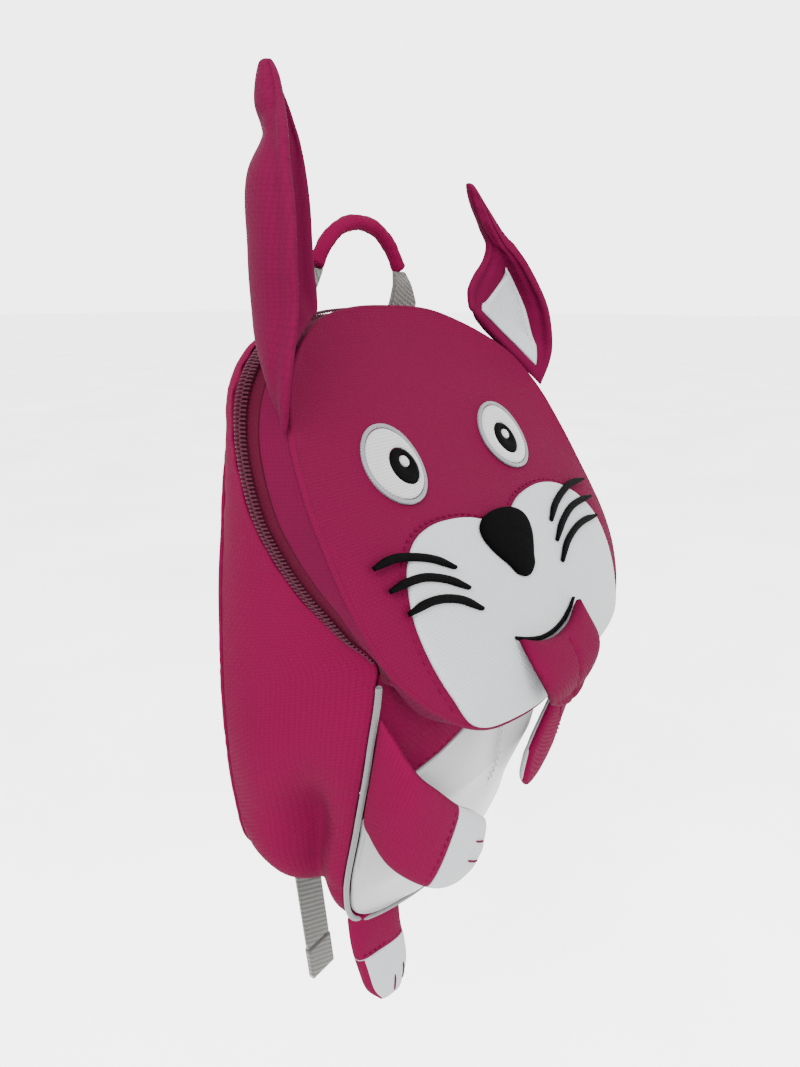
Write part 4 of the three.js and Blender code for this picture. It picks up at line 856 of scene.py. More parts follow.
eye_d, rim_w, pupil_d, glint_d = 30.0, 1.9, 13.5, 4.2
eye_x, eye_level, pupil_x, pupil_s, glint_up = 37.5, 57.5, 35.5, 59.0, 1.6
ball, hole = eye_d - 2 * rim_w, 2 * seam_gap
for side, tag in SIDES:
    x, px = side * eye_x + face_shift, side * pupil_x
    gx, gs = px + glint_d / 4, pupil_s - glint_up
    rings = (
        # piece, outside, inside, material, dome, threads across, slot, node
        ("eye_rim_satin", (x, eye_level, eye_d), (x, eye_level, ball + hole),
         silver_satin, 0.4, True, "silver_satin", "eye_rim"),
        ("eye_white_satin", (x, eye_level, ball), (px, pupil_s, pupil_d + hole),
         white_satin, 0.1, False, "white_cloth", "eye_white"),
        ("pupil_satin", (px, pupil_s, pupil_d), (gx, gs, glint_d + hole),
         black_satin, 0.2, False, "black_satin", "pupil"),
    )
    for piece, outside, inside, material, dome, across, slot, node in rings:
        ring = ring_patch(f"{piece}_{tag}", circle(*outside), circle(*inside), material, dome, across)
        done(ring, slot, f"{node}_{tag}")
    glint = patch(f"glint_satin_{tag}", circle(gx, gs, glint_d, 32), (gx, gs), face_point, patch_thickness,
                  white_satin, patch_gap, 0.5)
    done(glint, "white_cloth", f"glint_{tag}")

NOSE = np.array([[0, 0], [0.55, 0.035], [0.9, 0.14], [1, 0.3], [0.86, 0.52], [0.55, 0.76], [0.36, 0.92], [0, 1]])
nose_level, nose_w, nose_h = 84.5, 33.0, 27.0
nose_plan = mirrored(np.stack([NOSE[:, 0] * nose_w / 2, nose_level + NOSE[:, 1] * nose_h], 1))
nose_outline = nose_plan(np.linspace(0, 14, 181)[:-1]) + vec(face_shift, 0)
nose = patch("nose_cloth", nose_outline, (face_shift, nose_level + nose_h * 0.42), face_point, 1.1,
             black_cloth, top_lift, 1.6, 0.9, 16)
done(nose, "black_satin", "nose")

WHISKERS = [
    [(0.862, 0.556), (0.74, 0.553), (0.624, 0.564), (0.497, 0.587), (0.393, 0.62)],
    [(0.839, 0.608), (0.717, 0.606), (0.601, 0.613), (0.474, 0.637), (0.364, 0.671)],
    [(0.798, 0.662), (0.671, 0.659), (0.555, 0.667), (0.439, 0.688), (0.335, 0.723)],
]


def face_line(name, points, width, thickness, end_share, material, count=80):
    """A raised line of satin stitch on the face."""
    t = np.linspace(0, 1, count)
    p = smooth_line(points)(t * (len(points) - 1))
    along = unit(np.gradient(p, axis=0))
    across = np.stack([-along[:, 1], along[:, 0]], -1)
    half = width / 2 * (end_share + (1 - end_share) * np.minimum(1, 6 * np.minimum(t, 1 - t)))
    w = vec(-1, -1, -0.85, -0.5, 0, 0.5, 0.85, 1, 1)
    h = vec(0, 0.45, 0.75, 0.95, 1, 0.95, 0.75, 0.45, 0)
    plan = p[:, None] + across[:, None] * (half[:, None] * w[None])[..., None]
    V = face_point(*xy(plan), top_lift + h[None] * thickness + 0 * plan[..., 0])
    uv = pairs(run_length(p), w * width / 2)
    return make(name, V, tube_faces(*V.shape[:2]), uv, material, closed=True)


for side, tag in SIDES:
    for i, points in enumerate(WHISKERS):
        x, s = np.array(points).T
        pts = np.stack([side * x * half_width + whisker_shift[tag] * (1 - x), s * face_length], 1)
        w = face_line(f"whisker_satin_{tag}_{i + 1}", pts, 2.8, 1.4, 0.5, black_satin)
        done(w, "black_satin", f"whisker_{tag}_{i + 1}")

mouth_w, mouth_dip, mouth_level = 47.0, 6.0, 127.6


def mouth_at(share):
    return np.stack([face_shift + share * mouth_w / 2, mouth_level + mouth_dip * (1 - share**2)], -1)


mouth = face_line("mouth_satin", mouth_at(np.linspace(-1, 1, 7)), 1.8, 1.0, 0.6, black_satin, 120)
done(mouth, "black_satin", "mouth_line")

tongue_length, tongue_thickness, tongue_stand = 26.0, 5.0, 7.0
root = mouth_at(np.linspace(-1, 1, 61)) + vec(0, 0.9 + seam_gap)
ang = np.linspace(0, math.pi, 100)[1:-1]
tip = np.stack([face_shift + np.cos(ang) * mouth_w / 2 * (1 - 0.04 * np.sin(ang) ** 2),
                mouth_level + mouth_dip + tongue_length * (0.2 + 0.8 * np.sin(ang) ** 0.95)], -1)
outline = np.vstack([root, tip])
centre = vec(face_shift, mouth_level + mouth_dip + tongue_length * 0.45)
top = np.r_[np.linspace(0.03, 0.8, 20), 0.86, 0.91, 0.95, 0.98, 1]
low = np.r_[1, 0.9, 0.7, 0.4, 0.1]
plan_top, plan_low = plan_rings(outline, centre, top), plan_rings(outline, centre, low)


def tongue_foot(s):
    return top_lift + tongue_stand * smoothstep(s, mouth_level, face_length)


def tongue_top(x, s, share):
    groove = 0.9 * np.exp(-(((x - face_shift) / 1.6) ** 2)) * smoothstep(s, mouth_level + 8, mouth_level + 14)
    crown = 0.5 + 0.5 * np.sqrt(np.clip(1 - share**5, 0, 1))
    return tongue_foot(s) + tongue_thickness * crown - groove + 0.25 * plane_ripple(x, s, 18, 51)


x, s = xy(plan_top)
A = face_point(x, s, tongue_top(x, s, top[:, None]))
B = face_point(*xy(plan_low), tongue_foot(plan_low[..., 1]) + (low[:, None] == 1) * 1.0)
uv = np.vstack([plan_top.reshape(-1, 2), plan_low.reshape(-1, 2), centre, centre])
tongue = fan_solid("tongue_padded", np.concatenate([A, B]), B[-1].mean(0), uv, pink_soft)
done(tongue, "pink_cloth", "tongue", fill=0.5)
s = np.linspace(mouth_level + 9, mouth_level + mouth_dip + tongue_length * 0.93, 40)
middle_x = 0 * s + face_shift
P = face_point(middle_x, s, tongue_top(middle_x, s, np.abs(s - centre[1]) / 18) + 0.05)
stitches("tongue_centre_stitch", P, face_normal_at(0 * s, s), pink_thread, "pink_cloth", 2.4, 1.2, 0.7, 0.35)

# ---- belly

SHOULDER = np.array([[0.231, 0.566], [0.277, 0.623], [0.44, 0.656], [0.613, 0.684], [0.763, 0.753]])
shoulder_line = smooth_line(np.stack([SHOULDER[:, 0] * half_width, bag_point(0, 0, SHOULDER[:, 1])[:, 2]], 1))
belly_middle = vec(0, bag_level(0.77))


def shoulder_curve(t):
    return shoulder_line(np.asarray(t) * 4)


def piping_side(row):
    p = front_edge(row)[..., [0, 2]]
    return p + unit(belly_middle - p) * (piping_diameter / 2 + seam_gap + 0.6)


def below_neck(x):
    order = np.argsort(neck[:, 0])
    return np.stack([x, np.interp(x, neck[order, 0], neck[order, 2]) - 4 * seam_gap], -1)


def belly_place(x, z, lift):
    x, z, lift = np.broadcast_arrays(x, z, lift)
    return np.stack([x, belly_at(x, z) - lift, z], -1)


top_x = float(shoulder_curve(0)[0])
half = np.vstack([
    below_neck(np.linspace(0, 0.98 * top_x, 20)),
    shoulder_curve(np.linspace(0.08, 1, 50))[:-1] + vec(-seam_gap, -2 * seam_gap),
    piping_side(np.linspace(11.15, 15, 80)),
])
flip = vec(-1, 1)
outline = np.vstack([half, (half[1:-1] * flip)[::-1]])


def belly_patch(name, outline, centre, material, folds):
    """Cloth of the belly: its outer face is the CAD one's."""
    return patch(name, outline, centre, belly_place, cloth * 0.85, material, seam_gap - cloth, 0.7, 0.15, 30, folds)


def belly_stitches(name, x, z, lift, material, slot, gap):
    P = belly_place(x, z, lift)
    stitches(name, P, np.broadcast_to(vec(0, -1, 0), P.shape), material, slot, 2.0, gap, 0.6, 0.3)


belly = belly_patch("belly_satin", outline, belly_middle, belly_cloth,
                    lambda x, z: 1.2 * plane_ripple(x, 0.5 * z, 24, 61))
done(belly, "white_cloth", "belly_white")
z = np.linspace(below_neck(np.array([0.0]))[0, 1] - 4, piping_side(np.array([15.0]))[0, 1] + 3, 30)
for side, tag in SIDES:
    belly_stitches(f"belly_centre_stitch_{tag}", side * 1.1 + 0 * z, z, 0.3, white_satin, "white_cloth", 1.1)

for side, tag in SIDES:
    outline = np.vstack([
        below_neck(np.linspace(1.04 * top_x, neck[0, 0], 30)),
        piping_side(np.linspace(9.05, 10.9, 44)),
        shoulder_curve(np.linspace(0.94, 0.06, 50)) + vec(seam_gap, seam_gap),
    ]) * vec(side, 1)
    centre = (side * 0.72 * half_width, bag_level(0.6))
    piece = belly_patch(f"shoulder_cloth_{tag}", outline, centre, pink_cloth,
                        lambda x, z: 0.3 * plane_ripple(x, z, 20, 71))
    done(piece, "pink_cloth", f"shoulder_{tag}")
    line = shoulder_curve(np.linspace(0.1, 0.95, 60)) + vec(1.6, 1.6)
    belly_stitches(f"shoulder_topstitch_{tag}", side * line[:, 0], line[:, 1], 0.25, pink_thread, "pink_cloth", 1.2)

rows = np.linspace(ZIP_END + 0.25, 2 * LAST_BODY - ZIP_END - 0.25, 260)
done(tube("piping_cord", front_edge(rows), piping_diameter * 0.42, satin_piping, 14), "silver_satin", "piping")

# ---- leaves: ears, arms, legs, pads


def leaf_at(A, M, B, t, u):
    a, b = A(t), B(t)
    m = (a + b) / 2 if M is None else M(t)
    bow = (a + b) / 2 - m
    return m + (b - a) * (u / 2)[..., None] + bow * (u * u)[..., None]


def leaf_surface(A, M, B, t, u, lift):
    along = leaf_at(A, M, B, np.minimum(t + 0.01, 1), u) - leaf_at(A, M, B, np.maximum(t - 0.01, 0), u)
    side = leaf_at(A, M, B, t, u + 0.02) - leaf_at(A, M, B, t, u - 0.02)
    return leaf_at(A, M, B, t, u) + unit(np.cross(side, along)) * lift[..., None]


def leaf(name, A, M, B, start, end, thickness, material, nt, nu, edge_power, soft, seed, pucker, close=(True, True),
         rim=0.0, rim_width=0.09, slant=(0.0, 0.0), back=None, back_up=False, back_wrap=0.0):
    """A padded leaf between two edges: full in its middle, round at its edges, gathered beside its seams.

    close rounds its ends, slant tilts their seams, and back is the cloth of its other side, which back_up swaps.
    """
    angle = np.linspace(-math.pi / 2, math.pi / 2, nu)
    u = np.sin(angle)
    u = np.sign(u) * np.abs(u) ** 0.9
    t = np.linspace(start, end, nt)
    K, U = np.meshgrid(np.linspace(0, 1, nt), u, indexing="ij")
    T = np.clip((start + slant[0] * U) * (1 - K) + (end + slant[1] * U) * K, 0, 1)
    body = np.maximum(1 - np.abs(U) ** edge_power, 0) ** 0.5
    half = thickness(T) / 2 * (EDGE + (1 - EDGE) * body)
    if rim:
        half = half * (1 - rim * np.exp(-(((np.abs(U) - (1 - 2 * rim_width)) / rim_width) ** 2)))
    mid = leaf_at(A, M, B, T, U)
    wave = soft * ripple(mid, 22, seed) * np.clip(1.6 * (1 - np.abs(U)), 0, 1)
    width = np.linalg.norm(A(t) - B(t), axis=-1)[:, None] / 2
    run = run_length(mid[:, nu // 2])[:, None] + 0 * U
    gather = seam_puckers(run, (1 - np.abs(U)) * width, 6, 3.5, seed + 5) * np.clip(4 * (1 - np.abs(U)), 0, 1)
    round_end = np.sqrt(np.clip(1 - np.linspace(0, 1, 7) ** 2, 0.04, 1))[:, None]
    if close[0]:
        half[:7] *= round_end[::-1]
    if close[1]:
        half[-7:] *= round_end
    up = leaf_surface(A, M, B, T, U, half + wave * 0.5 + pucker * gather)
    down = leaf_surface(A, M, B, T, U, -half + wave * 0.5 + pucker * gather * 0.6)
    rings = np.concatenate([up, down[:, ::-1][:, 1:-1]], 1)
    k, m = rings.shape[:2]
    flat = np.stack([run, U * width], -1)
    uv = np.concatenate([flat, flat[:, ::-1][:, 1:-1]], 1)
    obj = make(name, rings, tube_faces(k, m), uv, material, closed=True)
    if back is not None:
        obj.data.materials.append(back)
        column = np.arange((k - 1) * m + 2) % m
        behind = (column < nu - 1) == back_up
        behind |= np.concatenate([u, u[::-1][1:-1]])[column] < back_wrap - 1
        behind[(k - 1) * m:] = False
        obj.data.polygons.foreach_set("material_index", behind.astype(int))
    return obj


EAR_LEFT = np.array([
    # outX, outY, outZ, midX, midY, midZ, inX, inY, inZ
    [0.965, 0.435, -0.105, 0.795, 0.31, 0.067, 0.56, 0.25, 0.223],
    [0.98, 0.475, 0.03, 0.83, 0.26, 0.15, 0.565, 0.255, 0.29],
    [0.94, 0.485, 0.22, 0.83, 0.235, 0.24, 0.573, 0.255, 0.33],
    [0.945, 0.49, 0.35, 0.835, 0.235, 0.37, 0.58, 0.255, 0.42],
    [0.925, 0.475, 0.48, 0.835, 0.235, 0.5, 0.585, 0.255, 0.52],
    [0.9, 0.44, 0.6, 0.815, 0.235, 0.6, 0.6, 0.255, 0.61],
    [0.87, 0.4, 0.7, 0.735, 0.235, 0.7, 0.625, 0.255, 0.7],
    [0.81, 0.345, 0.785, 0.775, 0.235, 0.785, 0.67, 0.25, 0.785],
    [0.79, 0.31, 0.85, 0.775, 0.24, 0.845, 0.72, 0.25, 0.85],
    [0.78, 0.275, 0.89, 0.77, 0.25, 0.895, 0.755, 0.25, 0.895],
])
EAR_RIGHT = np.array([
    [0.968, 0.435, -0.12, 0.798, 0.31, 0.088, 0.56, 0.25, 0.273],
    [1.01, 0.46, 0, 0.85, 0.27, 0.15, 0.56, 0.245, 0.33],
    [1.015, 0.465, 0.1, 0.88, 0.26, 0.21, 0.563, 0.245, 0.37],
    [0.965, 0.46, 0.25, 0.875, 0.28, 0.33, 0.605, 0.25, 0.43],
    [0.88, 0.44, 0.37, 0.84, 0.3, 0.44, 0.67, 0.26, 0.5],
    [0.78, 0.4, 0.5, 0.765, 0.31, 0.54, 0.675, 0.27, 0.575],
    [0.7, 0.345, 0.6, 0.675, 0.29, 0.625, 0.62, 0.26, 0.645],
    [0.605, 0.31, 0.72, 0.575, 0.28, 0.73, 0.535, 0.26, 0.735],
    [0.525, 0.285, 0.815, 0.5, 0.275, 0.83, 0.475, 0.265, 0.825],
])
ear_foot = bag_level(0.107)
ear_thickness = 6.5


def table_line(points):
    line = smooth_line(points)
    n = len(points)
    return lambda t: line(np.asarray(t) * (n - 1))


def ear_shape(side, rows, length):
    def column(k):
        y = bag_point(0, rows[:, k + 1], 0)[:, 1]
        return table_line(np.stack([side * rows[:, k] * half_width, y, ear_foot + rows[:, k + 2] * length], 1))

    def thick(t):
        return ear_thickness * (0.45 + 0.55 * np.sqrt(np.sin(math.pi * np.clip(t * 0.9 + 0.08, 0, 1))))

    return column(6), column(3), column(0), thick


def cad_half(thick, t, u):
    return thick(t) / 2 * (0.45 + 0.55 * np.sqrt(np.maximum(1 - u**4, 0)))


for side, tag, rows, length in ((-1, "left", EAR_LEFT, 104.0), (1, "right", EAR_RIGHT, 86.0)):
    A, M, B, thick = ear_shape(side, rows, length)
    # The ears are in the darker pink, which paints shade on them.
    ear = leaf(f"ear_padded_{tag}", A, M, B, 0, 1, thick, pink_painted_shade, 150, 41, 5, 0.5, 81 + side, 0.35,
               rim=0.45, rim_width=0.08)
    done(ear, "pink_cloth", f"ear_{tag}", fill=0.5)

    def on_ear(t, u, lift):
        return leaf_surface(A, M, B, t, u, side * (cad_half(thick, t, u) + patch_gap + lift))

    k, across = np.linspace(0, 1, 46), np.linspace(-1, 1, 25)
    lining_middle, lining_reach = (0.14, 0.56) if side < 0 else (0.0, 0.72)
    reach = lining_reach * np.cos(k * math.pi / 2) ** 0.7 + 0.03
    T = (0.05 + 0.51 * k)[:, None] + 0 * across[None]
    U = lining_middle + reach[:, None] * across[None]
    rim = np.clip((1 - np.abs(across)) * 9, 0, 1)[None] * np.clip(np.minimum(k, 1 - k) * 16, 0, 1)[:, None]
    wave = 0.2 * ripple(leaf_at(A, M, B, T, U), 16, 91)
    top = on_ear(T, U, 0.3 + 0.7 * np.sqrt(rim) + wave * rim)
    rings = np.concatenate([top, on_ear(T, U, -0.5)[:, ::-1]], 1)
    uv = np.stack([run_length(top[:, 12])[:, None] + 0 * U, U * 25], -1)
    uv = np.concatenate([uv, uv[:, ::-1]], 1)
    lining = make(f"ear_lining_cloth_{tag}", rings, tube_faces(*rings.shape[:2]), uv, white_cloth, closed=True)
    done(lining, "white_cloth", f"ear_lining_{tag}")
    edge = np.vstack([np.stack([T[:, 1], U[:, 1] + 0.05], -1), np.stack([T[::-1, -2], U[::-1, -2] - 0.05], -1)])
    t, u = edge[(edge[:, 0] > 0.07) & (edge[:, 0] < 0.54)].T
    P = on_ear(t, u, 1.0)
    stitches(f"ear_lining_stitch_{tag}", P, on_ear(t, u, 2.0) - P, white_satin, "white_cloth", 1.8, 1.1, 0.55, 0.3)

ARM = np.array([
    [0.877, 0.745, 0.532, 0.774, 0.588, 0.745],
    [0.81, 0.84, 0.61, 0.765, 0.7, 0.8],
    [0.67, 0.86, 0.668, 0.635, 0.775, 0.855],
    [0.53, 0.86, 0.72, 0.497, 0.805, 0.883],
    [0.39, 0.855, 0.762, 0.358, 0.815, 0.887],
    [0.29, 0.85, 0.797, 0.277, 0.83, 0.86],
])
LEG = {
    # outer edge x, y, z and inner edge x, y, z
    "left": np.array([
        [0.44, 0, -0.089, -0.5, 0, 0.031],
        [0.37, 0, 0.2, -0.54, 0, 0.33],
        [0.24, 0, 0.48, -0.63, 0, 0.55],
        [0.1, 0, 0.72, -0.67, 0, 0.79],
        [-0.15, 0, 0.93, -0.5, 0, 1],
    ]),
    "right": np.array([
        [0.27, 0.26, -0.05, -0.32, -0.17, 0.04],
        [0.55, 0.36, 0.09, -0.06, 0.04, 0.16],
        [0.76, 0.4, 0.19, 0.06, 0.26, 0.3],
        [0.76, 0.4, 0.47, 0, 0.32, 0.54],
        [0.53, 0.36, 0.75, 0.18, 0.34, 0.8],
    ]),
}
hand_from, foot_from, seam_share, leg_sag = 0.49, 0.37, 0.008, 0.4
hand_slant, foot_slant = -0.09, 0.01
arm_thickness, leg_thickness, leg_length, leg_width = 6.0, 7.0, 56.0, 34.0
# A leg's root: shares of the bag's half width and depth, the row of the front edge above it, and its rise from there
leg_x, leg_y, leg_row, leg_rise = 0.451, 0.385, 13.35, 0.6


def puffed(thickness):
    return lambda t: thickness * (0.5 + 0.5 * np.sqrt(np.sin(math.pi * np.clip(0.1 + 0.84 * t, 0, 1))))


def claws(name, A, B, thick, places, front):
    """Short stitched lines from the tip of a hand or foot."""
    V, F = [], []
    for t0, t1, u0, u1 in places:
        t, u = np.linspace(t0, t1, 14), np.linspace(u0, u1, 14)
        lift = front * (thick(t) / 2 * (EDGE + (1 - EDGE) * np.sqrt(np.maximum(1 - np.abs(u) ** 4, 0))) + 0.15)
        P = leaf_surface(A, None, B, t, u, lift)
        normal = unit(leaf_surface(A, None, B, t, u, lift + front) - P)
        side = np.cross(unit(np.gradient(P, axis=0)), normal)
        base = len(V)
        for i in range(14):
            size = 0.45 * math.sqrt(max(1 - (2 * i / 13 - 1) ** 4, 0.05))
            V += [P[i] + size * (math.cos(a) * side[i] + math.sin(a) * normal[i]) for a in full_turn(6)]
        F += (grid_faces(14, 6, False, True) + base).tolist()
    done(make(name, np.array(V), F, None, pink_thread), "pink_cloth")


def cuff_stitch(name, A, M, B, thick, cut, slant, front):
    """A stitched line on the pink cloth, just beside the white of a hand or foot."""
    u = np.linspace(-0.88, 0.88, 50)
    t = cut + slant * u - 0.03
    lift = front * (thick(t) / 2 * (EDGE + (1 - EDGE) * np.sqrt(1 - u**4)) + 0.1)
    P = leaf_surface(A, M, B, t, u, lift)
    stitches(name, P, leaf_surface(A, M, B, t, u, lift + front) - P, pink_thread, "pink_cloth", 1.8, 1.1, 0.6, 0.3)


def limb(kind, tip, tag, A, M, B, thickness, cut, slant, soft, seed, pucker, claw_places, fronts, **backs):
    """A pink arm or leg with its white hand or foot, claws and cuff; fronts are the sides that these show on."""
    thick = puffed(thickness)
    upper = leaf(f"{kind}_padded_{tag}", A, M, B, 0, cut, thick, pink_cloth, 60, 33, 4, soft, seed, pucker,
                 (True, False), slant=(0, slant))
    done(upper, "pink_cloth", f"{kind}_{tag}", fill=0.5)
    end = leaf(f"{tip}_padded_{tag}", A, M, B, cut + seam_share, 1, thick, white_cloth, 60, 33, 4, 0.4, seed + 2, 0.25,
               (False, True), slant=(slant, 0), back=pink_cloth, **backs)
    done(end, "white_cloth", f"{tip}_{tag}", fill=0.5)
    claws(f"{tip}_claw_stitches_{tag}", A, B, thick, claw_places, fronts[0])
    cuff_stitch(f"{tip}_cuff_stitch_{tag}", A, M, B, thick, cut, slant, fronts[1])


ARM_SWING, ARM_RISE = vec(-7, 4, 0), vec(0, 0, 6)  # of the right arm
for side, tag in SIDES:
    lower = smoothstep(np.arange(6), 0, 3)[:, None] * (side > 0)
    A = table_line(bag_point(side * ARM[:, 0], ARM[:, 1], ARM[:, 2]) + lower * (ARM_SWING + ARM_RISE))
    B = table_line(bag_point(side * ARM[:, 3], ARM[:, 4], ARM[:, 5]) + lower * (ARM_SWING + ARM_RISE))
    limb("arm", "hand", tag, A, None, B, arm_thickness, hand_from, hand_slant, 0.5, 101 + side, 0.3,
         [(0.78, 0.92, -0.15, 0.05), (0.7, 0.85, 0.35, 0.68)], (1, -side))

    root = bag_point(side * leg_x, leg_y, 0)
    root[2] = front_edge(np.array(side * leg_row))[2] + leg_rise
    scale = vec(side * leg_width, leg_width, -leg_length)
    A, B = table_line(root + LEG[tag][:, :3] * scale), table_line(root + LEG[tag][:, 3:] * scale)

    def M(t):
        return (A(t) + B(t)) / 2 - vec(0, 0, leg_sag) * np.maximum(0, 1 - np.asarray(t) / foot_from)[..., None]

    limb("leg", "foot", tag, A, M, B, leg_thickness, foot_from, foot_slant, 0.6, 111 + side, 0.35,
         [(0.74, 0.93, 0.15, 0.12), (0.69, 0.87, 0.62, 0.73)], (side, side), back_up=side < 0, back_wrap=0.16)

# ---- carry loop

sleeve_d, sleeve_span, sleeve_rise = 6.4, 51.0, 16.0
crown = sleeve_d / 2
SLEEVE = np.array([[-1, -1], [-0.74, -0.46], [-0.4, -0.11], [0, 0], [0.4, -0.11], [0.74, -0.46], [1, -1]])
sleeve_x, sleeve_z = SLEEVE.T * vec(sleeve_span / 2, sleeve_rise)[:, None]
path = table_line(np.stack([sleeve_x, 0 * sleeve_x, crown + sleeve_z], 1))(np.linspace(0, 1, 120))
run = run_length(path)
up = unit(np.cross(vec(0, 1, 0), unit(np.gradient(path, axis=0))))
angle = full_turn(40)
s, a = run[:, None], angle[None]
creases = 0.1 * np.sin(s * 0.55 + 2 * a) + 0.06 * np.sin(s * 1.3 - a * 3 + 1) - 0.5 * np.exp(-(((a - 3.6) / 0.12) ** 2))
radius = sleeve_d / 2 - 0.35 + creases
radius[[0, -1]] *= 0.82
rings = path[:, None] + radius[..., None] * (np.cos(a)[..., None] * up[:, None] - np.sin(a)[..., None] * vec(0, 1, 0))
uv = pairs(run, angle * sleeve_d / 2)
sleeve = make("handle_sleeve_cloth", rings, tube_faces(120, 40), uv, pink_cloth, closed=True)
done(sleeve, "pink_cloth", "handle_sleeve")

# ---- straps

top_back_z, tail_top_z = bag_level(0.024), bag_level(0.86)
# Carry web from the sleeve to its foot: shares of the way in x, y and z, and its width
CARRY = np.array([
    [0, 0, 0.04, 0.36], [0.35, 0.12, 0.3, 0.6], [0.75, 0.45, 0.65, 0.9], [0.95, 0.8, 0.88, 1], [1, 1, 1.1, 1],
])
carry_web_y, carry_width, carry_foot_x, carry_end = back_face + seam_gap + 0.8, 20, 37, 18
pad_thickness, pad_width, pad_bow = 6.0, 36.0, 14.0
pad_root_y = back_face + seam_gap + pad_thickness / 2
PAD = np.array([
    # x, bow, z, width
    [0.42, 0, 0.125, 0.8], [0.42, 0.32, 0.2, 0.95], [0.43, 0.75, 0.3, 1], [0.45, 1, 0.42, 1],
    [0.49, 0.98, 0.53, 0.92], [0.54, 0.85, 0.62, 0.7], [0.555, 0.78, 0.66, 0.5],
])
lock_height, lock_bar, lock_thickness, web_thickness, web_width = 17.0, 3.0, 3.2, 1.5, 15.0
pad_foot = vec(PAD[-1, 0] * half_width, pad_root_y + PAD[-1, 1] * pad_bow, bag_level(PAD[-1, 2]))
lock_drop, adjust_foot_x = 6, 0.6 * half_width
lock = pad_foot - vec(0, 0, lock_height / 2 + lock_drop)
pass_y = lock_thickness / 2 + seam_gap + web_thickness / 2
pass_z = seam_gap + web_thickness / 2
tail_lengths, tip_length = {"left": 109.0, "right": 72.0}, 18.0
tail_x, tail_y = 0.25 * half_width, 6.0
tail_full = vec(lock[0] + (tail_x - lock[0]) * 0.555, back_face + tail_y, tail_top_z)


def rounded_path(corners, at, rounds):
    """A path through corners, read at places that are counted in corners, with its corners rounded off."""
    corners = np.array(corners, float)
    P = np.stack([np.interp(at, range(len(corners)), column) for column in corners.T], 1)
    for _ in range(rounds):
        P[1:-1] = (P[:-2] + 2 * P[1:-1] + P[2:]) / 4
    return P


def dense(corners, per=10):
    """A path with per points from corner to corner, so that a strap follows the CAD one's straight parts."""
    return rounded_path(corners, np.arange((len(corners) - 1) * per + 1) / per, 3)


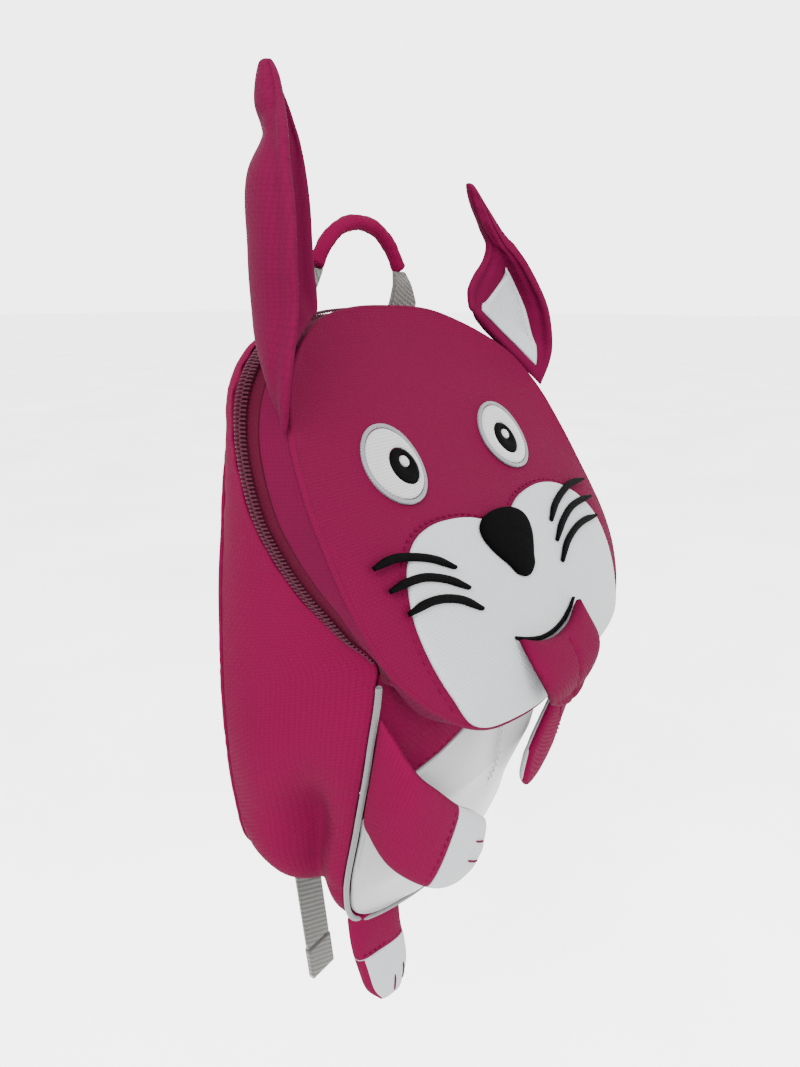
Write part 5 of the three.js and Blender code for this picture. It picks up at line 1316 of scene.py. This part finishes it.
for side, tag in SIDES:
    turn = vec(side, 1, 1)

    def web(piece, node, path, across=vec(web_width, 0, 0), thickness=web_thickness, material=dark_web):
        done(strap(f"{piece}_{tag}", path * turn, across, thickness, material), "grey_webbing", f"{node}_{tag}")

    top = vec(sleeve_span / 2, 0, crown - sleeve_rise - seam_gap)
    foot = vec(carry_foot_x, carry_web_y, top_back_z)
    corners = top + (foot - top) * CARRY[:, :3]
    corners = np.vstack([corners, [corners[-1, 0], corners[-1, 1], top_back_z - carry_end]])
    fine = np.linspace(0, len(CARRY), 60)
    path = rounded_path(corners, fine, 6)
    width = np.interp(fine, range(len(corners)), np.r_[CARRY[:, 3], 1] * carry_width)
    web("handle_webbing", "handle_web", path, width[:, None] * vec(1, 0, 0), 1.6, grey_web)

    y = pad_root_y + PAD[:, 1] * pad_bow
    z = bag_point(0, 0, PAD[:, 2])[:, 2]
    half = PAD[:, 3] * pad_width / 2
    A, B = [table_line(np.stack([side * (PAD[:, 0] * half_width + h), y, z], 1)) for h in (-half, half)]
    pad = leaf(f"shoulder_pad_foam_{tag}", A, None, B, 0, 1, lambda t: pad_thickness + 0 * t, pink_cloth, 140, 37, 6,
               0.35, 121 + side, 0.3, rim=0.5, rim_width=0.06)
    done(pad, "pink_cloth", f"shoulder_pad_{tag}", fill=0.8)

    # The webs pass the lock in front of it, round a bar, and behind it; these are their y and z there
    x, near, far = lock[0], lock[1] - pass_y, lock[1] + pass_y
    under = lock[2] + lock_height / 2 - lock_bar - pass_z
    over = lock[2] + lock_bar / 2 + pass_z
    pad_end = pad_foot[2] - 1.5
    loop = [(x, near, pad_end), (x, near, under + 1), (x, near + 1, under), (x, far - 1, under), (x, far, under + 1),
            (x, far, pad_end)]
    web("pad_loop_webbing", "pad_web", dense(loop, 6))

    foot = vec(adjust_foot_x, back_face + seam_gap + web_thickness / 2, tail_top_z)
    lock_foot = lock[2] - lock_height / 2
    tail_length = tail_lengths[tag]
    tail_end = vec(tail_x, back_face + tail_y - 2, tail_top_z - tail_length)
    above = tail_full + (tail_end - tail_full) * (1 - tip_length / tail_length)
    route = [foot, foot + vec(0, 0, 12), (foot[0] + (x - foot[0]) * 0.6, near - 2, lock_foot - 6),
             (x, near, lock[2] - lock_bar), (x, near, over - 1), (x, near + 1, over), (x, far - 1, over),
             (x, far, over - 1), (x, far, lock_foot - 3), tail_full, (tail_full + tail_end) / 2, above]
    web("adjust_webbing", "adjust_web", dense(route))
    start = above + (tail_end - above) * (2 * seam_gap / tip_length)
    web("strap_tip_folded", "strap_tip", np.linspace(start, tail_end, 12), thickness=2 * web_thickness)
    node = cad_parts[f"ladder_lock_{tag}"]
    node.data.materials.clear()
    node.data.materials.append(lock_plastic)

# ---- stage, light and camera

floor_z, floor_size = -0.62, 60
bpy.ops.mesh.primitive_plane_add(size=floor_size, location=(0, 0, floor_z))
floor = bpy.context.object
floor.name = "floor"
floor.data.materials.append(plain_material("pale_floor", (0.97, 0.97, 0.97, 1), 0.95, 3.0, 0.02))

world = bpy.data.worlds.new("studio")
bpy.context.scene.world = world
world.use_nodes = True
background = world.node_tree.nodes["Background"].inputs
background["Color"].default_value = (1, 1, 1, 1)
background["Strength"].default_value = 4.4


def area(name, place, target, size, power):
    light = bpy.data.lights.new(name, "AREA")
    light.shape = "DISK"
    light.size = size
    light.energy = power
    obj = bpy.data.objects.new(name, light)
    bpy.context.scene.collection.objects.link(obj)
    obj.location = place
    obj.rotation_euler = (Vector(target) - Vector(place)).to_track_quat("-Z", "Y").to_euler()


bag_centre = (0, 0, -0.15)
area("key", (-1.0, -0.35, 0.7), bag_centre, 0.7, 62)
area("front", (-0.3, -1.5, 0.3), bag_centre, 1.2, 46)

# The photograph's view: from the bag's left, a little above its middle
look_from = (-0.2530, -0.2014, -0.0241)
look_along = Vector((0.778, 0.561, -0.282))
cam = bpy.data.cameras.new("camera")
cam.lens = 27.03
cam.sensor_width = 36
cam.sensor_fit = "AUTO"
camera = bpy.data.objects.new("camera", cam)
bpy.context.scene.collection.objects.link(camera)
camera.location = look_from
camera.rotation_euler = look_along.to_track_quat("-Z", "Y").to_euler()
bpy.context.scene.camera = camera
